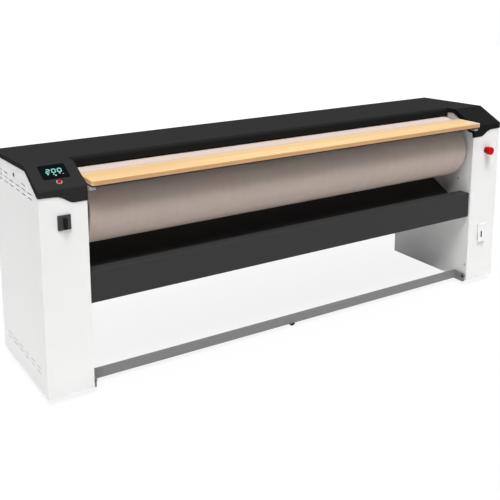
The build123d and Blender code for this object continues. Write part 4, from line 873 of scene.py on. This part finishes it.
class IRONER_OT_controls(bpy.types.Operator):
    """Finishes the start and stop buttons, their ring and collar, and the main switch"""

    bl_idname = "ironer.controls"
    bl_label = "Controls"

    def execute(self, context):
        bright = context.scene.ironer_colours.button
        dark = context.scene.ironer_colours.dark_red_and_neck_shade
        plate, black = linear("#454545"), linear("#101011")
        cap_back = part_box("estop_button")[0][1] + STOP_CAP
        grip_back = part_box("switch_knob")[0][1] + KNOB_GRIP
        glossy = {"roughness": 0.35, "depth": 0.03, "level": 0.05}
        satin = {"roughness": 0.42, "level": 0.12}
        # Behind the cap, the stop button's neck takes the darker red, as painted shade.
        head = moulded_plastic("glossy red polyamide, neck in painted shade", bright, skirt=(dark, cap_back), **glossy)
        dress(head, "estop_button")
        dress(moulded_plastic("glossy dark red polyamide", dark, **glossy), "start_button", "estop_collar")
        dress(steel("chromed brass ring", linear("#b5a5a6"), 0.3, (1, 1, 1), 3, 0.06), "button_ring")
        dress(moulded_plastic("dark grey polycarbonate", plate, 0.45, level=0.2), "switch_plate")
        knob = moulded_plastic("black and grey polyamide", black, skirt=(plate, grip_back), **satin)
        dress(knob, "switch_knob")
        dress(moulded_plastic("grey polyamide", linear("#6f7173"), 0.5), "switch_body", "electrical_tray")
        body = moulded_plastic("black polyamide", black, **satin)
        dress(body, "display_module", "estop_contacts", "cable_gland", "foot_switch")
        return {"FINISHED"}


class IRONER_OT_running_gear(bpy.types.Operator):
    """Finishes the steel, the castings, the motors and the rubber parts"""

    bl_idname = "ironer.running_gear"
    bl_label = "Running gear and feet"

    def execute(self, context):
        # Shafts and tubes are turned about X, so their marks are short on X and long on Y and Z.
        ground = steel("turned and ground steel", linear("#b9b9b6"), 0.3, (1, 25, 25), 1.5)
        dress(ground, "roll_tube", "roll_journals", "press_shaft", "casing_screws", "chest_heaters")
        # Black oxide is the spindle's own finish; on the side lock and the pivot pins the dark is also
        # painted shade of the lock's slot and of the hole round the pin.
        oxide_and_shade = steel("turned steel, black oxide and painted shade", linear("#3a3937"), 0.4, (1, 1, 1), 2)
        dress(oxide_and_shade, "crank_spindle", "side_lock", "pivot_pins")
        oiled = steel("oiled chain steel", linear("#5a5650"), 0.4, (1, 1, 1), 2.5)
        dress(oiled, "drive_chain", "roll_sprocket", "drive_sprocket")
        dress(cast_metal("grey cast iron", linear("#5d5f61"), 0.55, 0.6), "roll_bearings")
        enamel = cast_metal("cast iron, grey-blue enamel", linear("#566370"), 0.42, 0.0)
        dress(enamel, "drive_gearbox", "drive_motor", "press_gearbox", "press_motor", "fan_motor")
        dress(rubber("black pressed rubber"), "levelling_feet", "foot_bumper")
        return {"FINISHED"}


class IRONER_OT_heat_and_air(bpy.types.Operator):
    """Finishes the heated chest and its insulation, the ducts, the fan and the sheets that hold them"""

    bl_idname = "ironer.heat_and_air"
    bl_label = "Chest and extraction"

    def execute(self, context):
        # The chest is polished round the roll's axis, so its marks are short on X and long on Y and Z.
        polished = steel("polished stainless steel", linear("#cbcbc8"), 0.14, (1, 120, 120), 1.5, 0.06)
        dress(polished, "chest_plate")
        dress(mineral_wool("mineral wool mat"), "chest_insulation")
        zinc = galvanised_steel("hot-dip galvanised sheet")
        dress(zinc, "chest_cover", "chest_arms", "base_pans", "cross_beams")
        dress(zinc, "fan_housing", "suction_duct", "exhaust_spigot")
        dress(moulded_plastic("glass-filled polyamide", linear("#2b2b2d"), 0.5), "fan_impeller")
        return {"FINISHED"}


class IRONER_OT_studio(bpy.types.Operator):
    """Sets up the pale floor, the soft lights, the white surround and the camera"""

    bl_idname = "ironer.studio"
    bl_label = "Studio"

    def execute(self, context):
        scene = context.scene
        studio = scene.ironer_studio
        paint = studio_floor("matt painted floor", studio.floor, studio.floor_glow)
        disc = disc_surface(studio.floor_radius, FLOOR_RINGS, FLOOR_SIDES)
        floor = put_mesh("studio_floor", *disc, paint)

        world = bpy.data.worlds.new("studio surround")
        scene.world = world
        world.use_nodes = True
        tree = world.node_tree
        tree.nodes.clear()
        light = add(tree, "Background", {"Color": WHITE, "Strength": studio.surround})
        white = add(tree, "Background", {"Color": WHITE, "Strength": 1.0})
        both = add(tree, "MixShader", [seen_directly(tree), light, white])
        add(tree, "OutputWorld", {"Surface": both})

        # Both lights are far away and wide, as large panels under a hall's ceiling, so that the floor is
        # lit evenly and throws its own light back up at the machine. White paint gives back one part in pi
        # of what falls on it.
        for name, level, width, way in (
            ("key_light", studio.key, KEY_WIDTH, KEY_WAY),
            ("top_light", studio.top, TOP_WIDTH, TOP_WAY),
        ):
            lamp = bpy.data.lights.new(name, "SUN")
            lamp.energy = math.pi * level
            lamp.angle = math.radians(width)
            holder = bpy.data.objects.new(name, lamp)
            scene.collection.objects.link(holder)
            holder.location = LIGHT_AWAY * np.array(way)
            tilt = math.atan2(math.hypot(way[0], way[1]), way[2])
            holder.rotation_euler = (tilt, 0.0, math.atan2(way[0], -way[1]))

        camera = bpy.data.cameras.new("camera")
        camera.lens = studio.lens
        camera.sensor_width = 36.0
        camera.sensor_fit = "AUTO"
        camera.shift_y = CAMERA_SHIFT
        holder = bpy.data.objects.new("camera", camera)
        holder.location = CAMERA_PLACE
        holder.rotation_euler = (math.radians(90 - CAMERA_DOWN), 0.0, math.radians(-CAMERA_RIGHT))
        scene.collection.objects.link(holder)
        scene.camera = holder
        scene.view_settings.view_transform = "Standard"
        return {"FINISHED"}


OPERATORS = (
    IRONER_OT_studio,
    IRONER_OT_white_casing,
    IRONER_OT_dark_covers,
    IRONER_OT_roll_cover,
    IRONER_OT_cover_stitches,
    IRONER_OT_feed_board,
    IRONER_OT_display,
    IRONER_OT_controls,
    IRONER_OT_running_gear,
    IRONER_OT_heat_and_air,
)
SETTINGS = {
    "ironer_colours": IronerColours,
    "ironer_roll": IronerRoll,
    "ironer_display": IronerDisplay,
    "ironer_studio": IronerStudio,
}


class IRONER_PT_panel(bpy.types.Panel):
    """Lists the ironer's settings and the steps that build its looks"""

    bl_idname = "IRONER_PT_panel"
    bl_label = "Flatwork Ironer"
    bl_space_type = "VIEW_3D"
    bl_region_type = "UI"
    bl_category = "Ironer"

    def draw(self, context):
        for key, kind in SETTINGS.items():
            box = self.layout.box()
            box.label(text=kind.__doc__)
            for name in kind.__annotations__:
                box.prop(getattr(context.scene, key), name)
        for step in OPERATORS:
            self.layout.operator(step.bl_idname)


def register():
    for kind in (*SETTINGS.values(), *OPERATORS, IRONER_PT_panel):
        bpy.utils.register_class(kind)
    for key, kind in SETTINGS.items():
        setattr(bpy.types.Scene, key, bpy.props.PointerProperty(type=kind))


def unregister():
    for key in SETTINGS:
        delattr(bpy.types.Scene, key)
    for kind in reversed((*SETTINGS.values(), *OPERATORS, IRONER_PT_panel)):
        bpy.utils.unregister_class(kind)


def main():
    register()
    plain = {name: node.data.materials[0] for name, node in NODES.items()}
    for step in OPERATORS:
        family, name = step.bl_idname.split(".")
        getattr(getattr(bpy.ops, family), name)()
    bare = [name for name, node in NODES.items() if node.data.materials[0] == plain[name]]
    if bare:
        raise RuntimeError(f"these nodes have no finish of their own: {bare}")


if __name__ == "__main__":
    main()
